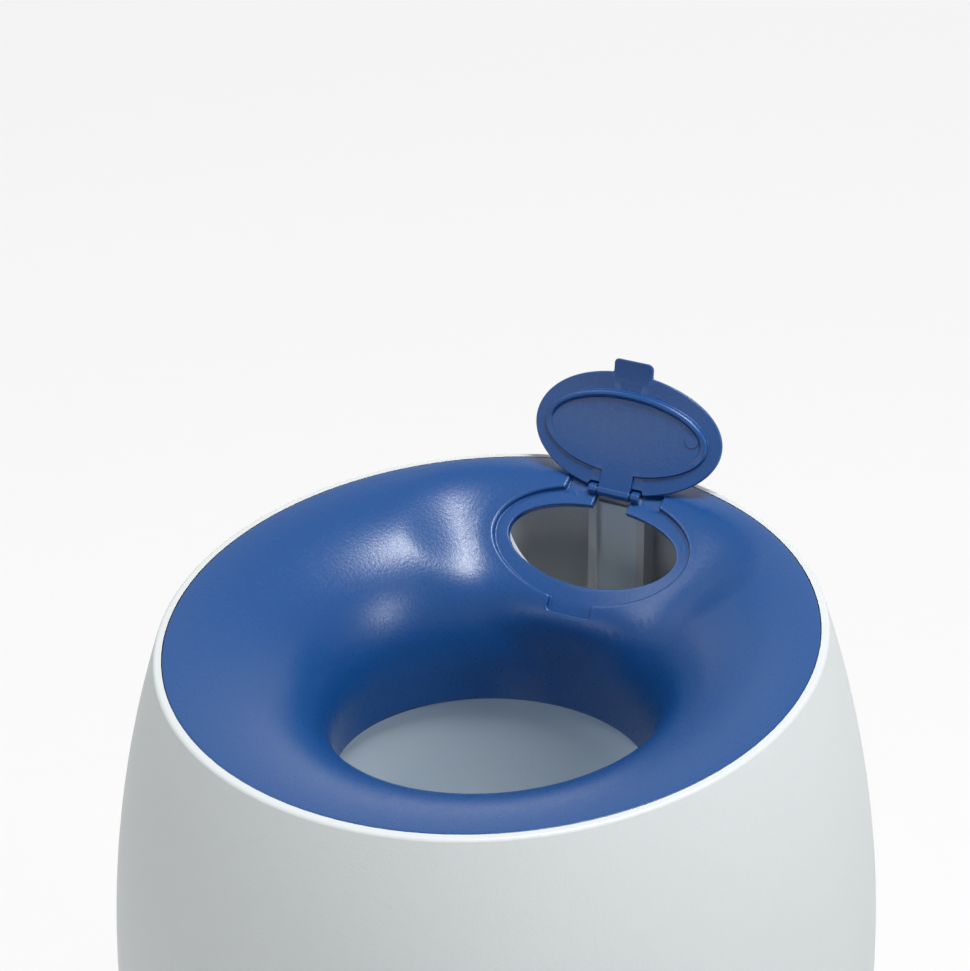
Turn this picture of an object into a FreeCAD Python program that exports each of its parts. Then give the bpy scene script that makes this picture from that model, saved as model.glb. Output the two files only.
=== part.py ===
import FreeCAD, Part
import math
import os
import re

import Sketcher
from FreeCAD import Placement, Rotation, Vector

# Ball-drop treat dispenser for dogs, in millimetres
# Origin on the floor under the middle of the body, +Z up, ball outlet towards -Y, treat hatch towards +Y

DIMENSIONS = {
    # Barrel-shaped shell: two arcs that meet at the belly, cut by the slanted rim plane
    "rim_height": 228,
    "rim_tilt": 7,
    "belly_radius": 119.5,
    "belly_height": 116,
    "upper_arc": 360,
    "lower_arc": 560,
    "shell_bottom": 3,
    "wall": 2.2,
    "lip_round": 1.1,
    # Trumpet-shaped top ring
    "seam_gap": 0.15,
    "ring_wall": 2.4,
    "skirt_gap": 0.6,
    "skirt_wall": 1.8,
    "skirt_length": 12,
    "throat_radius": 49,
    "throat_shift": -3,
    "flare_depth": 41,
    "throat_depth": 53,
    "ring_boss_circle": 88,
    "lug_top": 203,
    "lug_thick": 3,
    # Treat hatch: its middle on the ring, the slope of its deck and how far the deck is flattened
    "hatch_y": 63.6,
    "hatch_z": 227,
    "hatch_slope": 38,
    "deck_level": -1,
    "deck_flattening": 0.6,
    "deck_blend": 1.6,
    "hole_length": 58.6,
    "hole_width": 28,
    "recess_length": 67.2,
    "recess_width": 40,
    "recess_depth": 1.8,
    "seat_thick": 2.4,
    "seat_margin": 3.4,
    "notch_width": 14.8,
    "notch_reach": 24,
    # Lid, hinge and plug ridge
    "lid_length": 65.6,
    "lid_width": 38.8,
    "lid_thick": 1.6,
    "lid_open": 148,
    "tab_width": 13.8,
    "tab_reach": 23.5,
    "plug_clearance": 0.6,
    "plug_wall": 1.7,
    "plug_depth": 3.7,
    "panel_depth": 2.6,
    "hinge_v": 19.6,
    "hinge_n": -2.4,
    "hinge_barrel": 2,
    "hinge_width": 11.2,
    "hinge_pin_radius": 1,
    "hinge_play": 0.05,
    "hinge_side_gap": 0.4,
    "hinge_gap": 0.5,
    "cheek_width": 3,
    "cheek_radius": 1.9,
    "cheek_foot": 2.8,
    "heel_width": 33,
    "heel_radius": 3.3,
    "heel_floor": 0.7,
    # Treat hopper
    "hopper_y": 73,
    "hopper_length": 70,
    "hopper_depth": 39,
    "hopper_wall": 1.8,
    "hopper_gap": 0.3,
    "hopper_cone_top": 165,
    "hopper_bottom": 140.4,
    "hopper_floor": 2.2,
    "mouth_y": 72,
    "mouth_length": 48,
    "mouth_depth": 25,
    "ear_x": 22,
    "ear_y": 86,
    # Pier at the hopper's back wall and the portion gate that slides in it
    "pier_width": 20,
    "pier_front": 82.2,
    "pier_bottom": 152,
    "pier_lip": 1.8,
    "pier_opening": 14.4,
    "gate_width": 16.2,
    "gate_thick": 1.8,
    "gate_play": 0.2,
    "gate_bottom": 161,
    "gate_top": 231,
    "wing_front": 63.5,
    "wing_back": 81.5,
    "wing_half": 20,
    "wing_corner": 6,
    "wing_thick": 2,
    # Ball ramp: collar round the throat, upright back and slope between two side walls
    "collar_radius": 52,
    "collar_low": 118,
    "collar_high": 178,
    "ramp_inside": 100,
    "ramp_wall": 2.2,
    "ramp_back": 51,
    "ramp_top": 138,
    "ramp_shoulder": -60,
    "ramp_arc": 90,
    "ramp_arc_z": 135,
    "ramp_slope": 15,
    "ramp_front": -90,
    "ramp_foot": 12.2,
    "ramp_side_front": 96,
    "treadle_slot_front": -41,
    "treadle_slot_back": -10,
    "treadle_slot_width": 64,
    "spout_window_low": 76,
    "spout_window_high": 112,
    "spout_window_width": 44,
    "ramp_tab_length": 9,
    "ramp_tab_width": 12,
    "ramp_tab_thick": 2.5,
    "ramp_tab_front": -70,
    "ramp_tab_back": 38,
    "housing_boss_x": 33,
    "housing_boss_z": 130,
    "housing_boss_reach": 60,
    # Dosing drum and its housing
    "drum_y": 72,
    "drum_z": 112,
    "drum_radius": 15,
    "drum_length": 44,
    "drum_play": 0.5,
    "pocket_width": 18,
    "pocket_length": 36,
    "pocket_floor": 3.5,
    "drum_shaft_radius": 2,
    "drum_shaft_left": -30,
    "drum_shaft_right": 37,
    "housing_width": 54,
    "housing_front": 54,
    "housing_back": 90,
    "housing_bottom": 94,
    "housing_top": 138,
    "spout_reach": 18.5,
    "spout_low": 74.5,
    "inlet_length": 40,
    "inlet_front": 62,
    "inlet_back": 82,
    "flange_thick": 2.5,
    "pinion_teeth": 13,
    "tooth_module": 1,
    "clip_radius": 3.8,
    "clip_thick": 0.8,
    "clip_mouth": 2.4,
    "pinion_left": 28.2,
    "pinion_width": 4.6,
    # Push rod with its rack, and its return spring
    "rod_left": 28,
    "rod_width": 5,
    "rod_front": 79.75,
    "rod_back": 84,
    "rod_bottom": 15,
    "rod_top": 125,
    "rack_teeth": 8,
    "guide_play": 0.3,
    "guide_wall": 2,
    "guide_low": 95,
    "guide_high": 120,
    "spring_seat": 148,
    "spring_radius": 1.8,
    "spring_wire": 0.4,
    "spring_turns": 7,
    # Trigger lever: treadle, hub, rear arm and shaft
    "lever_y": 35,
    "lever_z": 26,
    "lever_shaft_radius": 2,
    "lever_play": 0.05,
    "lever_hub": 4.5,
    "lever_arm_width": 10,
    "treadle_width": 60,
    "treadle_front": -37,
    "treadle_back": -12.5,
    "treadle_low": 38.5,
    "treadle_top": 56,
    "treadle_nose": 5.5,
    "rear_arm": 46,
    "rear_arm_drop": 7,
    "rear_arm_left": 33.8,
    "rear_arm_width": 4.4,
    "rear_pin": 1.8,
    "post_left": -13,
    "post_right": 40,
    "post_width": 5,
    # Base plate, feet and outlet
    "plate_thick": 3,
    "plate_gap": 0.6,
    "plate_rim": 4,
    "base_screw_radius": 97,
    "shell_boss_top": 30,
    "foot_radius": 9,
    "foot_circle": 84,
    "foot_stem": 3.9,
    "outlet_width": 92,
    "outlet_sill": 23.5,
    "outlet_spring": 60,
    "frame_wall": 2.2,
    "frame_flange": 4,
    "frame_stand": 1.4,
    "frame_inner_plane": -91.5,
    # Self-tapping screws
    "screw_radius": 1.5,
    "screw_head": 3,
    "screw_head_height": 2,
    "screw_head_round": 0.8,
    "screw_recess": 0.9,
    "screw_play": 0.2,
    "screw_bite": 0.05,
    "boss_radius": 4,
}

doc = FreeCAD.newDocument("treat_dispenser")
sheet = doc.addObject("Spreadsheet::Sheet", "Sizes")
for row, (alias, value) in enumerate(DIMENSIONS.items(), start=1):
    sheet.set(f"A{row}", alias)
    sheet.set(f"B{row}", str(value))
    sheet.setAlias(f"B{row}", alias)
doc.recompute()


def size(alias):
    """The value of one driving dimension, read from the sheet."""
    return float(sheet.get(alias))


def bound(text):
    """An expression in which every driving dimension points at the sheet."""
    return re.sub(r"[a-z_]+", lambda m: "Sizes." + m.group() if m.group() in DIMENSIONS else m.group(), text)


def amount(text):
    """The number that an expression gives now."""
    return float(sheet.evalExpression(bound(text)))


# Helpers for bodies made of sketches and features


def new_body(label):
    body = doc.addObject("PartDesign::Body", label)
    body.Label = label
    return body


def new_sketch(body, role, offset=None):
    """An empty sketch on one of the body's own origin planes, moved along its normal."""
    sketch = body.newObject("Sketcher::SketchObject", body.Label + "_sketch")
    plane = next(item for item in body.Origin.OriginFeatures if item.Role == role)
    sketch.AttachmentSupport = [(plane, "")]
    sketch.MapMode = "FlatFace"
    if offset:
        sketch.setExpression("AttachmentOffset.Base.z", bound(offset))
    return sketch


def hold(sketch, kind, geometry, end, text):
    """Bind one coordinate of a sketch point to an expression."""
    value = amount(text)
    if abs(value) < 1e-9:
        axis = -2 if kind == "DistanceX" else -1
        sketch.addConstraint(Sketcher.Constraint("PointOnObject", geometry, end, axis))
        return
    index = sketch.addConstraint(Sketcher.Constraint(kind, -1, 1, geometry, end, value))
    sketch.setExpression(f"Constraints[{index}]", bound(text))


def add_outline(sketch, corners, arcs=None):
    """A closed outline through corners given as expressions; arcs maps an edge to (radius, side)."""
    arcs = arcs or {}
    points = [Vector(amount(x), amount(y), 0) for x, y in corners]
    ends = []
    for index, start in enumerate(points):
        finish = points[(index + 1) % len(points)]
        if index not in arcs:
            edge = sketch.addGeometry(Part.LineSegment(start, finish))
            ends.append((edge, 1, 2))
            continue
        radius_text, side = arcs[index]
        radius = amount(radius_text)
        chord = finish - start
        rise = math.sqrt(max(radius**2 - (chord.Length / 2) ** 2, 0))
        centre = (start + finish) / 2 + Vector(-chord.y, chord.x, 0) / chord.Length * rise * side
        first, last = (start, finish) if side > 0 else (finish, start)
        angles = [math.atan2(p.y - centre.y, p.x - centre.x) for p in (first, last)]
        circle = Part.Circle(centre, Vector(0, 0, 1), radius)
        edge = sketch.addGeometry(Part.ArcOfCircle(circle, angles[0], angles[1]))
        ends.append((edge, 1, 2) if side > 0 else (edge, 2, 1))
        fixed = sketch.addConstraint(Sketcher.Constraint("Radius", edge, radius))
        sketch.setExpression(f"Constraints[{fixed}]", bound(radius_text))
    for index, (edge, begin, _) in enumerate(ends):
        before, _, close = ends[index - 1]
        sketch.addConstraint(Sketcher.Constraint("Coincident", before, close, edge, begin))
        hold(sketch, "DistanceX", edge, begin, corners[index][0])
        hold(sketch, "DistanceY", edge, begin, corners[index][1])


def add_circle(sketch, x, y, radius):
    centre = Vector(amount(x), amount(y), 0)
    edge = sketch.addGeometry(Part.Circle(centre, Vector(0, 0, 1), amount(radius)))
    index = sketch.addConstraint(Sketcher.Constraint("Radius", edge, amount(radius)))
    sketch.setExpression(f"Constraints[{index}]", bound(radius))
    hold(sketch, "DistanceX", edge, 3, x)
    hold(sketch, "DistanceY", edge, 3, y)


def add_box(sketch, left, right, low, high):
    add_outline(sketch, [(left, low), (right, low), (right, high), (left, high)])


def extrude(body, kind, sketch, length, both_ways=False):
    """A Pad or a Pocket of the sketch, along its normal or both ways from it."""
    feature = body.newObject("PartDesign::" + kind, body.Label + "_" + kind.lower())
    feature.Profile = sketch
    feature.SideType = "Symmetric" if both_ways else "One side"
    if kind == "Pocket" and not both_ways:
        feature.Reversed = True
    feature.setExpression("Length", bound(length))
    return feature


def pattern(body, features, count, angle=None, axis="Z_Axis", length=None, direction="Z_Axis"):
    """Repeat features round an axis of the body or along one."""
    kind = "PolarPattern" if angle else "LinearPattern"
    repeat = body.newObject("PartDesign::" + kind, body.Label + "_pattern")
    repeat.Originals = features
    role = axis if angle else direction
    line = next(item for item in body.Origin.OriginFeatures if item.Role == role)
    if angle:
        repeat.Axis = (line, [""])
        repeat.Angle = angle
    else:
        repeat.Direction = (line, [""])
        repeat.setExpression("Length", bound(length))
    repeat.setExpression("Occurrences", bound(count))
    body.Tip = repeat
    return repeat


def place_shape(label, shape):
    """A finished piece whose shape is worked out from the sheet."""
    piece = doc.addObject("Part::Feature", label)
    piece.Label = label
    piece.Shape = shape
    return piece


# Shapes shared by several pieces


def barrel(inset):
    """The solid inside the shell's outer face, moved in by inset, from the floor to above the rim."""
    belly = size("belly_radius") - inset
    middle = size("belly_height")
    low = 0.0
    high = size("rim_height") + 20

    def radius_at(z, arc):
        return belly - arc + math.sqrt(arc**2 - (z - middle) ** 2)

    upper = size("upper_arc") - inset
    lower = size("lower_arc") - inset
    corners = [Vector(0, 0, low), Vector(radius_at(low, lower), 0, low), Vector(belly, 0, middle)]
    corners += [Vector(radius_at(high, upper), 0, high), Vector(0, 0, high)]
    between_low = Vector(radius_at(middle / 2, lower), 0, middle / 2)
    between_high = Vector(radius_at((middle + high) / 2, upper), 0, (middle + high) / 2)
    edges = [
        Part.LineSegment(corners[0], corners[1]).toShape(),
        Part.Arc(corners[1], between_low, corners[2]).toShape(),
        Part.Arc(corners[2], between_high, corners[3]).toShape(),
        Part.LineSegment(corners[3], corners[4]).toShape(),
        Part.LineSegment(corners[4], corners[0]).toShape(),
    ]
    return Part.Face(Part.Wire(edges)).revolve(Vector(0, 0, 0), Vector(0, 0, 1), 360)


def rim_point(azimuth, inset):
    """A point of the slanted rim, inset from the shell's outer face."""
    slant = math.tan(math.radians(size("rim_tilt")))
    radius = size("belly_radius")
    for _ in range(12):
        z = size("rim_height") + radius * math.sin(azimuth) * slant
        drop = size("upper_arc") - math.sqrt(size("upper_arc") ** 2 - (z - size("belly_height")) ** 2)
        radius = size("belly_radius") - drop - inset
    return Vector(radius * math.cos(azimuth), radius * math.sin(azimuth), z)


def hatch_frame():
    """Place and slope of the treat hatch: x across, y up the slope, z out of the deck."""
    origin = Vector(0, size("hatch_y"), size("hatch_z"))
    return Placement(origin, Rotation(Vector(1, 0, 0), size("hatch_slope")))


def smooth(value):
    """A step that starts and ends level."""
    value = min(max(value, 0.0), 1.0)
    return value * value * (3 - 2 * value)


RING_INSET = size("wall") / math.cos(math.radians(18)) + size("seam_gap")
RIM_FADE = math.radians(12)


def flare_surface(turn, azimuth):
    """A point of the trumpet: turn is 0 at the rim and a quarter turn at the throat."""
    rim = rim_point(azimuth, RING_INSET)
    share = math.sin(turn)
    level = size("rim_height")
    throat = size("throat_radius")
    x = rim.x * (1 - share) + throat * math.cos(azimuth) * share
    y = rim.y * (1 - share) + (size("throat_shift") + throat * math.sin(azimuth)) * share
    z = level - size("flare_depth") * (1 - math.cos(turn)) + (rim.z - level) * math.cos(turn)
    point = Vector(x, y, z)
    local = hatch_frame().inverse().multVec(point)
    spread = math.hypot(local.x / (size("recess_length") / 2), local.y / (size("recess_width") / 2))
    blend = smooth((size("deck_blend") - spread) / (size("deck_blend") - 1)) * smooth(turn / RIM_FADE)
    lift = size("deck_flattening") * blend * (size("deck_level") - local.z)
    return point + hatch_frame().Rotation.multVec(Vector(0, 0, lift))


def flare_normal(turn, azimuth):
    """The direction out of the trumpet's visible face."""
    step = 1e-4
    along = flare_surface(turn + step, azimuth) - flare_surface(turn - step, azimuth)
    across = flare_surface(turn, azimuth + step) - flare_surface(turn, azimuth - step)
    return across.cross(along).normalize()


AZIMUTHS = 60
TURNS = 15
TUBE_STEPS = 3


def flare_rings(depth):
    """Closed curves of the trumpet moved depth behind its visible face, from the rim to the throat's end."""
    rings = []
    angles = [2 * math.pi * step / AZIMUTHS - math.pi / 2 for step in range(AZIMUTHS)]
    for step in range(TURNS + 1):
        turn = math.pi / 2 * step / TURNS
        rings.append([flare_surface(turn, a) - flare_normal(turn, a) * depth for a in angles])
    tube = size("throat_depth") - size("flare_depth")
    radius = size("throat_radius") + depth
    for step in range(1, TUBE_STEPS + 1):
        z = size("rim_height") - size("flare_depth") - tube * step / TUBE_STEPS
        middle = Vector(0, size("throat_shift"), z)
        rings.append([middle + Vector(radius * math.cos(a), radius * math.sin(a), 0) for a in angles])
    return [closed_curve(points) for points in rings]


def closed_curve(points):
    curve = Part.BSplineCurve()
    curve.interpolate(Points=points, PeriodicFlag=True)
    return Part.Wire([curve.toShape()])


def flare_sheet(near, far):
    """The solid between two depths behind the trumpet's visible face."""
    front = flare_rings(near)
    back = flare_rings(far)
    faces = Part.makeLoft(front, False, False, False).Faces
    faces += Part.makeLoft(back, False, False, False).Faces
    faces += Part.makeLoft([front[0], back[0]], False, True, False).Faces
    faces.append(Part.makeFace([front[-1], back[-1]], "Part::FaceMakerBullseye"))
    shell = Part.makeShell(faces)
    shell.sewShape()
    return Part.makeSolid(shell.Shells[0])


def hatch_prism(length, width, low, high):
    """An oval prism square to the deck, centred on the hatch."""
    oval = Part.Ellipse(Vector(0, 0, low), length / 2, width / 2).toShape()
    solid = Part.Face(Part.Wire([oval])).extrude(Vector(0, 0, high - low))
    solid.Placement = hatch_frame()
    return solid


def hatch_box(width, near, far, low, high):
    """A block square to the deck: near and far count up the slope from the hatch's middle."""
    solid = Part.makeBox(width, far - near, high - low, Vector(-width / 2, near, low))
    solid.Placement = hatch_frame().multiply(solid.Placement)
    return solid


def cylinder_x(radius, left, right, y, z):
    return Part.makeCylinder(radius, right - left, Vector(left, y, z), Vector(1, 0, 0))


def cylinder_z(radius, low, high, x, y):
    return Part.makeCylinder(radius, high - low, Vector(x, y, low))


def flare_height(radius, azimuth):
    """Height of the trumpet's visible face at a distance from the middle."""
    low = 0.0
    high = math.pi / 2
    for _ in range(30):
        turn = (low + high) / 2
        point = flare_surface(turn, azimuth)
        if math.hypot(point.x, point.y) > radius:
            low = turn
        else:
            high = turn
    return flare_surface(low, azimuth).z


PRISM_LOW = -30
PRISM_HIGH = 30
CUT_OVERRUN = 0.01
HINGE = hatch_frame().multVec(Vector(0, size("hinge_v"), size("hinge_n")))

# Funnel ring: blue moulding with the trumpet, its skirt, the hatch seat, hinge cheeks and screw bosses

RING_BOSS_ANGLES = [45, 135, -135, -45]
SEAT_TOP = 1.0
HINGE_REACH = size("hinge_width") / 2 + size("hinge_side_gap") + size("cheek_width")


def rim_disc(inset, low, high):
    """The rim's outline as a slab: low and high count down from the rim plane."""
    angles = [2 * math.pi * step / AZIMUTHS for step in range(AZIMUTHS)]
    face = Part.Face(closed_curve([rim_point(a, inset) for a in angles]))
    face.translate(Vector(0, 0, -low))
    return face.extrude(Vector(0, 0, low - high))


def boss_places(radius, angles):
    return [(radius * math.cos(math.radians(a)), radius * math.sin(math.radians(a))) for a in angles]


def make_funnel_ring():
    ring = flare_sheet(0, size("ring_wall"))
    skirt_inset = RING_INSET + size("skirt_gap")
    skirt = rim_disc(skirt_inset, 1.2, size("skirt_length"))
    skirt = skirt.cut(rim_disc(skirt_inset + size("skirt_wall"), 1.0, size("skirt_length") + 1))
    margin = 2 * size("seat_margin")
    seat_back = size("recess_depth") + size("seat_thick")
    seat_outline = hatch_prism(
        size("recess_length") + margin, size("recess_width") + margin, PRISM_LOW, PRISM_HIGH
    )
    notch_outline = hatch_box(
        size("notch_width") + margin, -size("notch_reach") - size("ring_wall"), 0, PRISM_LOW, PRISM_HIGH
    )
    seat = flare_sheet(SEAT_TOP, seat_back).common(seat_outline.fuse(notch_outline))
    ring = ring.fuse([skirt, seat])
    for x, y in boss_places(size("ring_boss_circle"), RING_BOSS_ANGLES):
        top = flare_height(size("ring_boss_circle"), math.atan2(y, x)) - 1.6
        ring = ring.fuse(cylinder_z(size("boss_radius"), size("lug_top") + 0.2, top, x, y))
    # Recess for the lid, its tab notch, the hatch itself and the scoop for the open lid's heel
    recess = hatch_prism(size("recess_length"), size("recess_width"), PRISM_LOW, PRISM_HIGH)
    notch = hatch_box(size("notch_width"), -size("notch_reach"), 0, PRISM_LOW, PRISM_HIGH)
    recess = flare_sheet(-8, size("recess_depth")).common(recess.fuse(notch))
    hole = hatch_prism(size("hole_length"), size("hole_width"), PRISM_LOW, PRISM_HIGH)
    heel = cylinder_x(size("heel_radius"), -size("heel_width") / 2, size("heel_width") / 2, HINGE.y, HINGE.z)
    heel = heel.common(
        hatch_box(size("heel_width"), 0, PRISM_HIGH, size("hinge_n") - size("heel_floor"), PRISM_HIGH)
    )
    ring = ring.cut([recess, hole, heel])
    # Cheeks that carry the hinge pin, on the recess's floor, and the slot between them down to the hatch
    cheek = size("cheek_radius")
    middle = size("hinge_v")
    cheeks = cylinder_x(cheek, -HINGE_REACH, HINGE_REACH, HINGE.y, HINGE.z)
    foot_low = size("hinge_n") - size("cheek_foot")
    foot = hatch_box(2 * HINGE_REACH, middle - cheek, middle + cheek, foot_low, size("hinge_n"))
    slot = hatch_box(
        2 * (size("hinge_width") / 2 + size("hinge_side_gap")),
        0,
        middle + size("hinge_barrel") + size("hinge_gap"),
        PRISM_LOW,
        PRISM_HIGH,
    )
    pin_hole = cylinder_x(size("hinge_pin_radius") + 0.01, -HINGE_REACH, HINGE_REACH, HINGE.y, HINGE.z)
    ring = ring.fuse([cheeks, foot]).cut([slot, pin_hole])
    pilot = size("screw_radius") + size("screw_bite")
    for x, y in boss_places(size("ring_boss_circle"), RING_BOSS_ANGLES):
        ring = ring.cut(cylinder_z(pilot, size("lug_top"), size("lug_top") + 12, x, y))
    return ring.removeSplitter()


ring_solid = make_funnel_ring()
place_shape("funnel_ring", ring_solid)

# Hopper lid: blue, follows the deck when closed, with a plug ridge, a thicker panel, a tab and a hinge barrel


def make_hopper_lid():
    outline = hatch_prism(size("lid_length"), size("lid_width"), PRISM_LOW, PRISM_HIGH)
    tab = hatch_box(size("tab_width"), -size("tab_reach"), 0, PRISM_LOW, PRISM_HIGH)
    plate = flare_sheet(0, size("lid_thick")).common(outline.fuse(tab))
    plug_length = size("hole_length") - 2 * size("plug_clearance")
    plug_width = size("hole_width") - 2 * size("plug_clearance")
    inner = 2 * size("plug_wall")
    ridge = hatch_prism(plug_length, plug_width, PRISM_LOW, PRISM_HIGH)
    ridge = ridge.cut(hatch_prism(plug_length - inner, plug_width - inner, PRISM_LOW - 1, PRISM_HIGH + 1))
    ridge = ridge.cut(hatch_box(size("hinge_width"), 0, 30, PRISM_LOW, PRISM_HIGH))
    ridge = flare_sheet(size("lid_thick") - 0.4, size("plug_depth")).common(ridge)
    # Notches for the ring's cheeks, on both sides of the hinge barrel
    half = size("hinge_width") / 2
    notch_start = size("hinge_v") - size("cheek_radius") - size("hinge_gap")
    notch_width = 2 * (HINGE_REACH + size("hinge_side_gap"))
    plate = plate.cut(hatch_box(notch_width, notch_start, PRISM_HIGH, PRISM_LOW, PRISM_HIGH))
    # Thicker middle panel, which runs on between the notches as the neck of the hinge barrel
    neck = hatch_box(2 * half, 0, size("hinge_v"), PRISM_LOW, PRISM_HIGH)
    inside = hatch_prism(plug_length - inner / 2, plug_width - inner / 2, PRISM_LOW, PRISM_HIGH)
    panel = flare_sheet(0, size("panel_depth")).common(inside.fuse(neck))
    knuckle = cylinder_x(size("hinge_barrel"), -half, half, HINGE.y, HINGE.z)
    lid = plate.fuse([ridge, panel, knuckle])
    bore_radius = size("hinge_pin_radius") + size("hinge_play")
    bore = cylinder_x(bore_radius, -HINGE_REACH, HINGE_REACH, HINGE.y, HINGE.z)
    return lid.cut(bore).removeSplitter()


lid_piece = place_shape("hopper_lid", make_hopper_lid())
lid_piece.Placement = Placement(Vector(), Rotation(Vector(1, 0, 0), -size("lid_open")), HINGE)

pin = doc.addObject("Part::Cylinder", "lid_hinge_pin")
pin.Label = "lid_hinge_pin"
pin.setExpression("Radius", bound("hinge_pin_radius"))
pin.setExpression("Height", bound("hinge_width + 2 * hinge_side_gap + 2 * cheek_width"))
pin.Placement = Placement(Vector(-HINGE_REACH, HINGE.y, HINGE.z), Rotation(Vector(0, 1, 0), 90))

# Treat hopper: grey oval tube under the hatch, a cone to the drum, and the pier at its back wall


def oval_wire(length, width, y, z):
    oval = Part.Ellipse(Vector(0, y, z), length / 2, width / 2).toShape()
    return Part.Wire([oval])


def make_treat_hopper():
    top = size("rim_height") + 20
    wall = 2 * size("hopper_wall")
    lower = size("hopper_bottom")

    def cavity(inset, low):
        length = size("hopper_length") - inset
        depth = size("hopper_depth") - inset
        cone_top = oval_wire(length, depth, size("hopper_y"), size("hopper_cone_top"))
        mouth = oval_wire(size("mouth_length") - inset, size("mouth_depth") - inset, size("mouth_y"), low)
        cone = Part.makeLoft([mouth, cone_top], True, True, False)
        tube = Part.Face(cone_top).extrude(Vector(0, 0, top - size("hopper_cone_top")))
        return cone.fuse(tube)

    flange = Part.makeBox(
        size("housing_width"),
        size("housing_back") - size("housing_front"),
        size("hopper_floor"),
        Vector(-size("housing_width") / 2, size("housing_front"), lower - size("hopper_floor")),
    )
    inside = cavity(wall, lower)
    pier = Part.makeBox(
        size("pier_width"),
        size("hopper_y") + size("hopper_depth") / 2 - size("pier_front") - 1,
        top - size("pier_bottom"),
        Vector(-size("pier_width") / 2, size("pier_front"), size("pier_bottom")),
    )
    outside = cavity(0, lower)
    body = outside.cut(inside).fuse([pier.common(outside), flange])
    below = lower - 2 * size("hopper_floor")
    mouth = oval_wire(size("mouth_length") - wall, size("mouth_depth") - wall, size("mouth_y"), below)
    body = body.cut(Part.Face(mouth).extrude(Vector(0, 0, lower - below + CUT_OVERRUN)))
    # Channel for the portion gate, held by two lips
    play = size("gate_play")
    opening = Part.makeBox(
        size("pier_opening"),
        size("pier_lip") + 0.2,
        top,
        Vector(-size("pier_opening") / 2, size("pier_front") - 0.1, size("pier_bottom") - 1),
    )
    slot_width = size("gate_width") + 2 * play
    slot = Part.makeBox(
        slot_width,
        size("gate_thick") + 2 * play,
        top,
        Vector(-slot_width / 2, size("pier_front") + size("pier_lip"), size("pier_bottom") - 1),
    )
    body = body.cut([opening, slot])
    # The top edge follows the underside of the ring's seat
    seat_back = size("recess_depth") + size("seat_thick") + size("hopper_gap")
    body = body.cut(flare_sheet(-22, seat_back))
    hole_radius = size("screw_radius") + size("screw_play")
    for side in (-1, 1):
        body = body.cut(cylinder_z(hole_radius, below, lower + 1, side * size("ear_x"), size("ear_y")))
    solids = sorted(body.Solids, key=lambda solid: -solid.Volume)
    return solids[0]


place_shape("treat_hopper", make_treat_hopper())

# Portion gate: plate in the pier's channel, with a wing in the hopper that narrows the way to the drum

gate = new_body("portion_gate")
gate_front = "pier_front + pier_lip + gate_play"
sketch = new_sketch(gate, "YZ_Plane")
add_outline(
    sketch,
    [
        (gate_front, "gate_bottom"),
        (gate_front + " + gate_thick", "gate_bottom"),
        (gate_front + " + gate_thick", "gate_top"),
        (gate_front, "gate_top"),
    ],
)
extrude(gate, "Pad", sketch, "gate_width", both_ways=True)
sketch = new_sketch(gate, "YZ_Plane")
neck_back = gate_front + " + gate_thick / 2"
add_box(sketch, "wing_back - wing_corner", neck_back, "gate_bottom", "gate_bottom + wing_thick")
extrude(gate, "Pad", sketch, "pier_opening - 1", both_ways=True)
sketch = new_sketch(gate, "XY_Plane", "gate_bottom")
add_outline(
    sketch,
    [
        ("-wing_half + wing_corner", "wing_front"),
        ("wing_half - wing_corner", "wing_front"),
        ("wing_half", "wing_front + wing_corner"),
        ("wing_half", "wing_back - wing_corner"),
        ("wing_half - wing_corner", "wing_back"),
        ("-wing_half + wing_corner", "wing_back"),
        ("-wing_half", "wing_back - wing_corner"),
        ("-wing_half", "wing_front + wing_corner"),
    ],
    {edge: ("wing_corner", 1) for edge in (1, 3, 5, 7)},
)
extrude(gate, "Pad", sketch, "wing_thick")

# Ball ramp: light grey, a collar round the throat, an upright back that sweeps into a slope, two side walls

ramp = new_body("ball_ramp")
arc_y = "(ramp_back - ramp_arc)"
outer_arc = "(ramp_arc + ramp_wall)"
turn_text = "(90 deg - ramp_slope * 1 deg)"
foot_y = f"({arc_y} + ramp_arc * cos({turn_text}))"
foot_z = f"(ramp_arc_z - ramp_arc * sin({turn_text}))"
under_y = f"({arc_y} + {outer_arc} * cos({turn_text}))"
under_z = f"(ramp_arc_z - {outer_arc} * sin({turn_text}))"
slope = "tan(ramp_slope * 1 deg)"
sketch = new_sketch(ramp, "YZ_Plane")
add_outline(
    sketch,
    [
        ("ramp_back", "ramp_top"),
        ("ramp_back", "ramp_arc_z"),
        (foot_y, foot_z),
        ("ramp_front", f"{foot_z} - ({foot_y} - ramp_front) * {slope}"),
        ("ramp_front", f"{under_z} - ({under_y} - ramp_front) * {slope}"),
        (under_y, under_z),
        ("ramp_back + ramp_wall", "ramp_arc_z"),
        ("ramp_back + ramp_wall", "ramp_top"),
    ],
    {1: ("ramp_arc", -1), 5: (outer_arc, 1)},
)
extrude(ramp, "Pad", sketch, "ramp_inside + ramp_wall", both_ways=True)
for side, offset in ((-1, "-ramp_inside / 2 - ramp_wall"), (1, "ramp_inside / 2")):
    sketch = new_sketch(ramp, "YZ_Plane", offset)
    add_outline(
        sketch,
        [
            ("ramp_front", "ramp_foot"),
            ("ramp_back + ramp_wall", "ramp_foot"),
            ("ramp_back + ramp_wall", "ramp_top"),
            ("ramp_shoulder", "ramp_top"),
            ("ramp_front", "ramp_side_front"),
        ],
    )
    extrude(ramp, "Pad", sketch, "ramp_wall")
sketch = new_sketch(ramp, "XY_Plane", "collar_low")
add_circle(sketch, "0", "throat_shift", "collar_radius + ramp_wall")
extrude(ramp, "Pad", sketch, "collar_high - collar_low")
sketch = new_sketch(ramp, "XY_Plane", "collar_low")
add_circle(sketch, "0", "throat_shift", "collar_radius")
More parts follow.
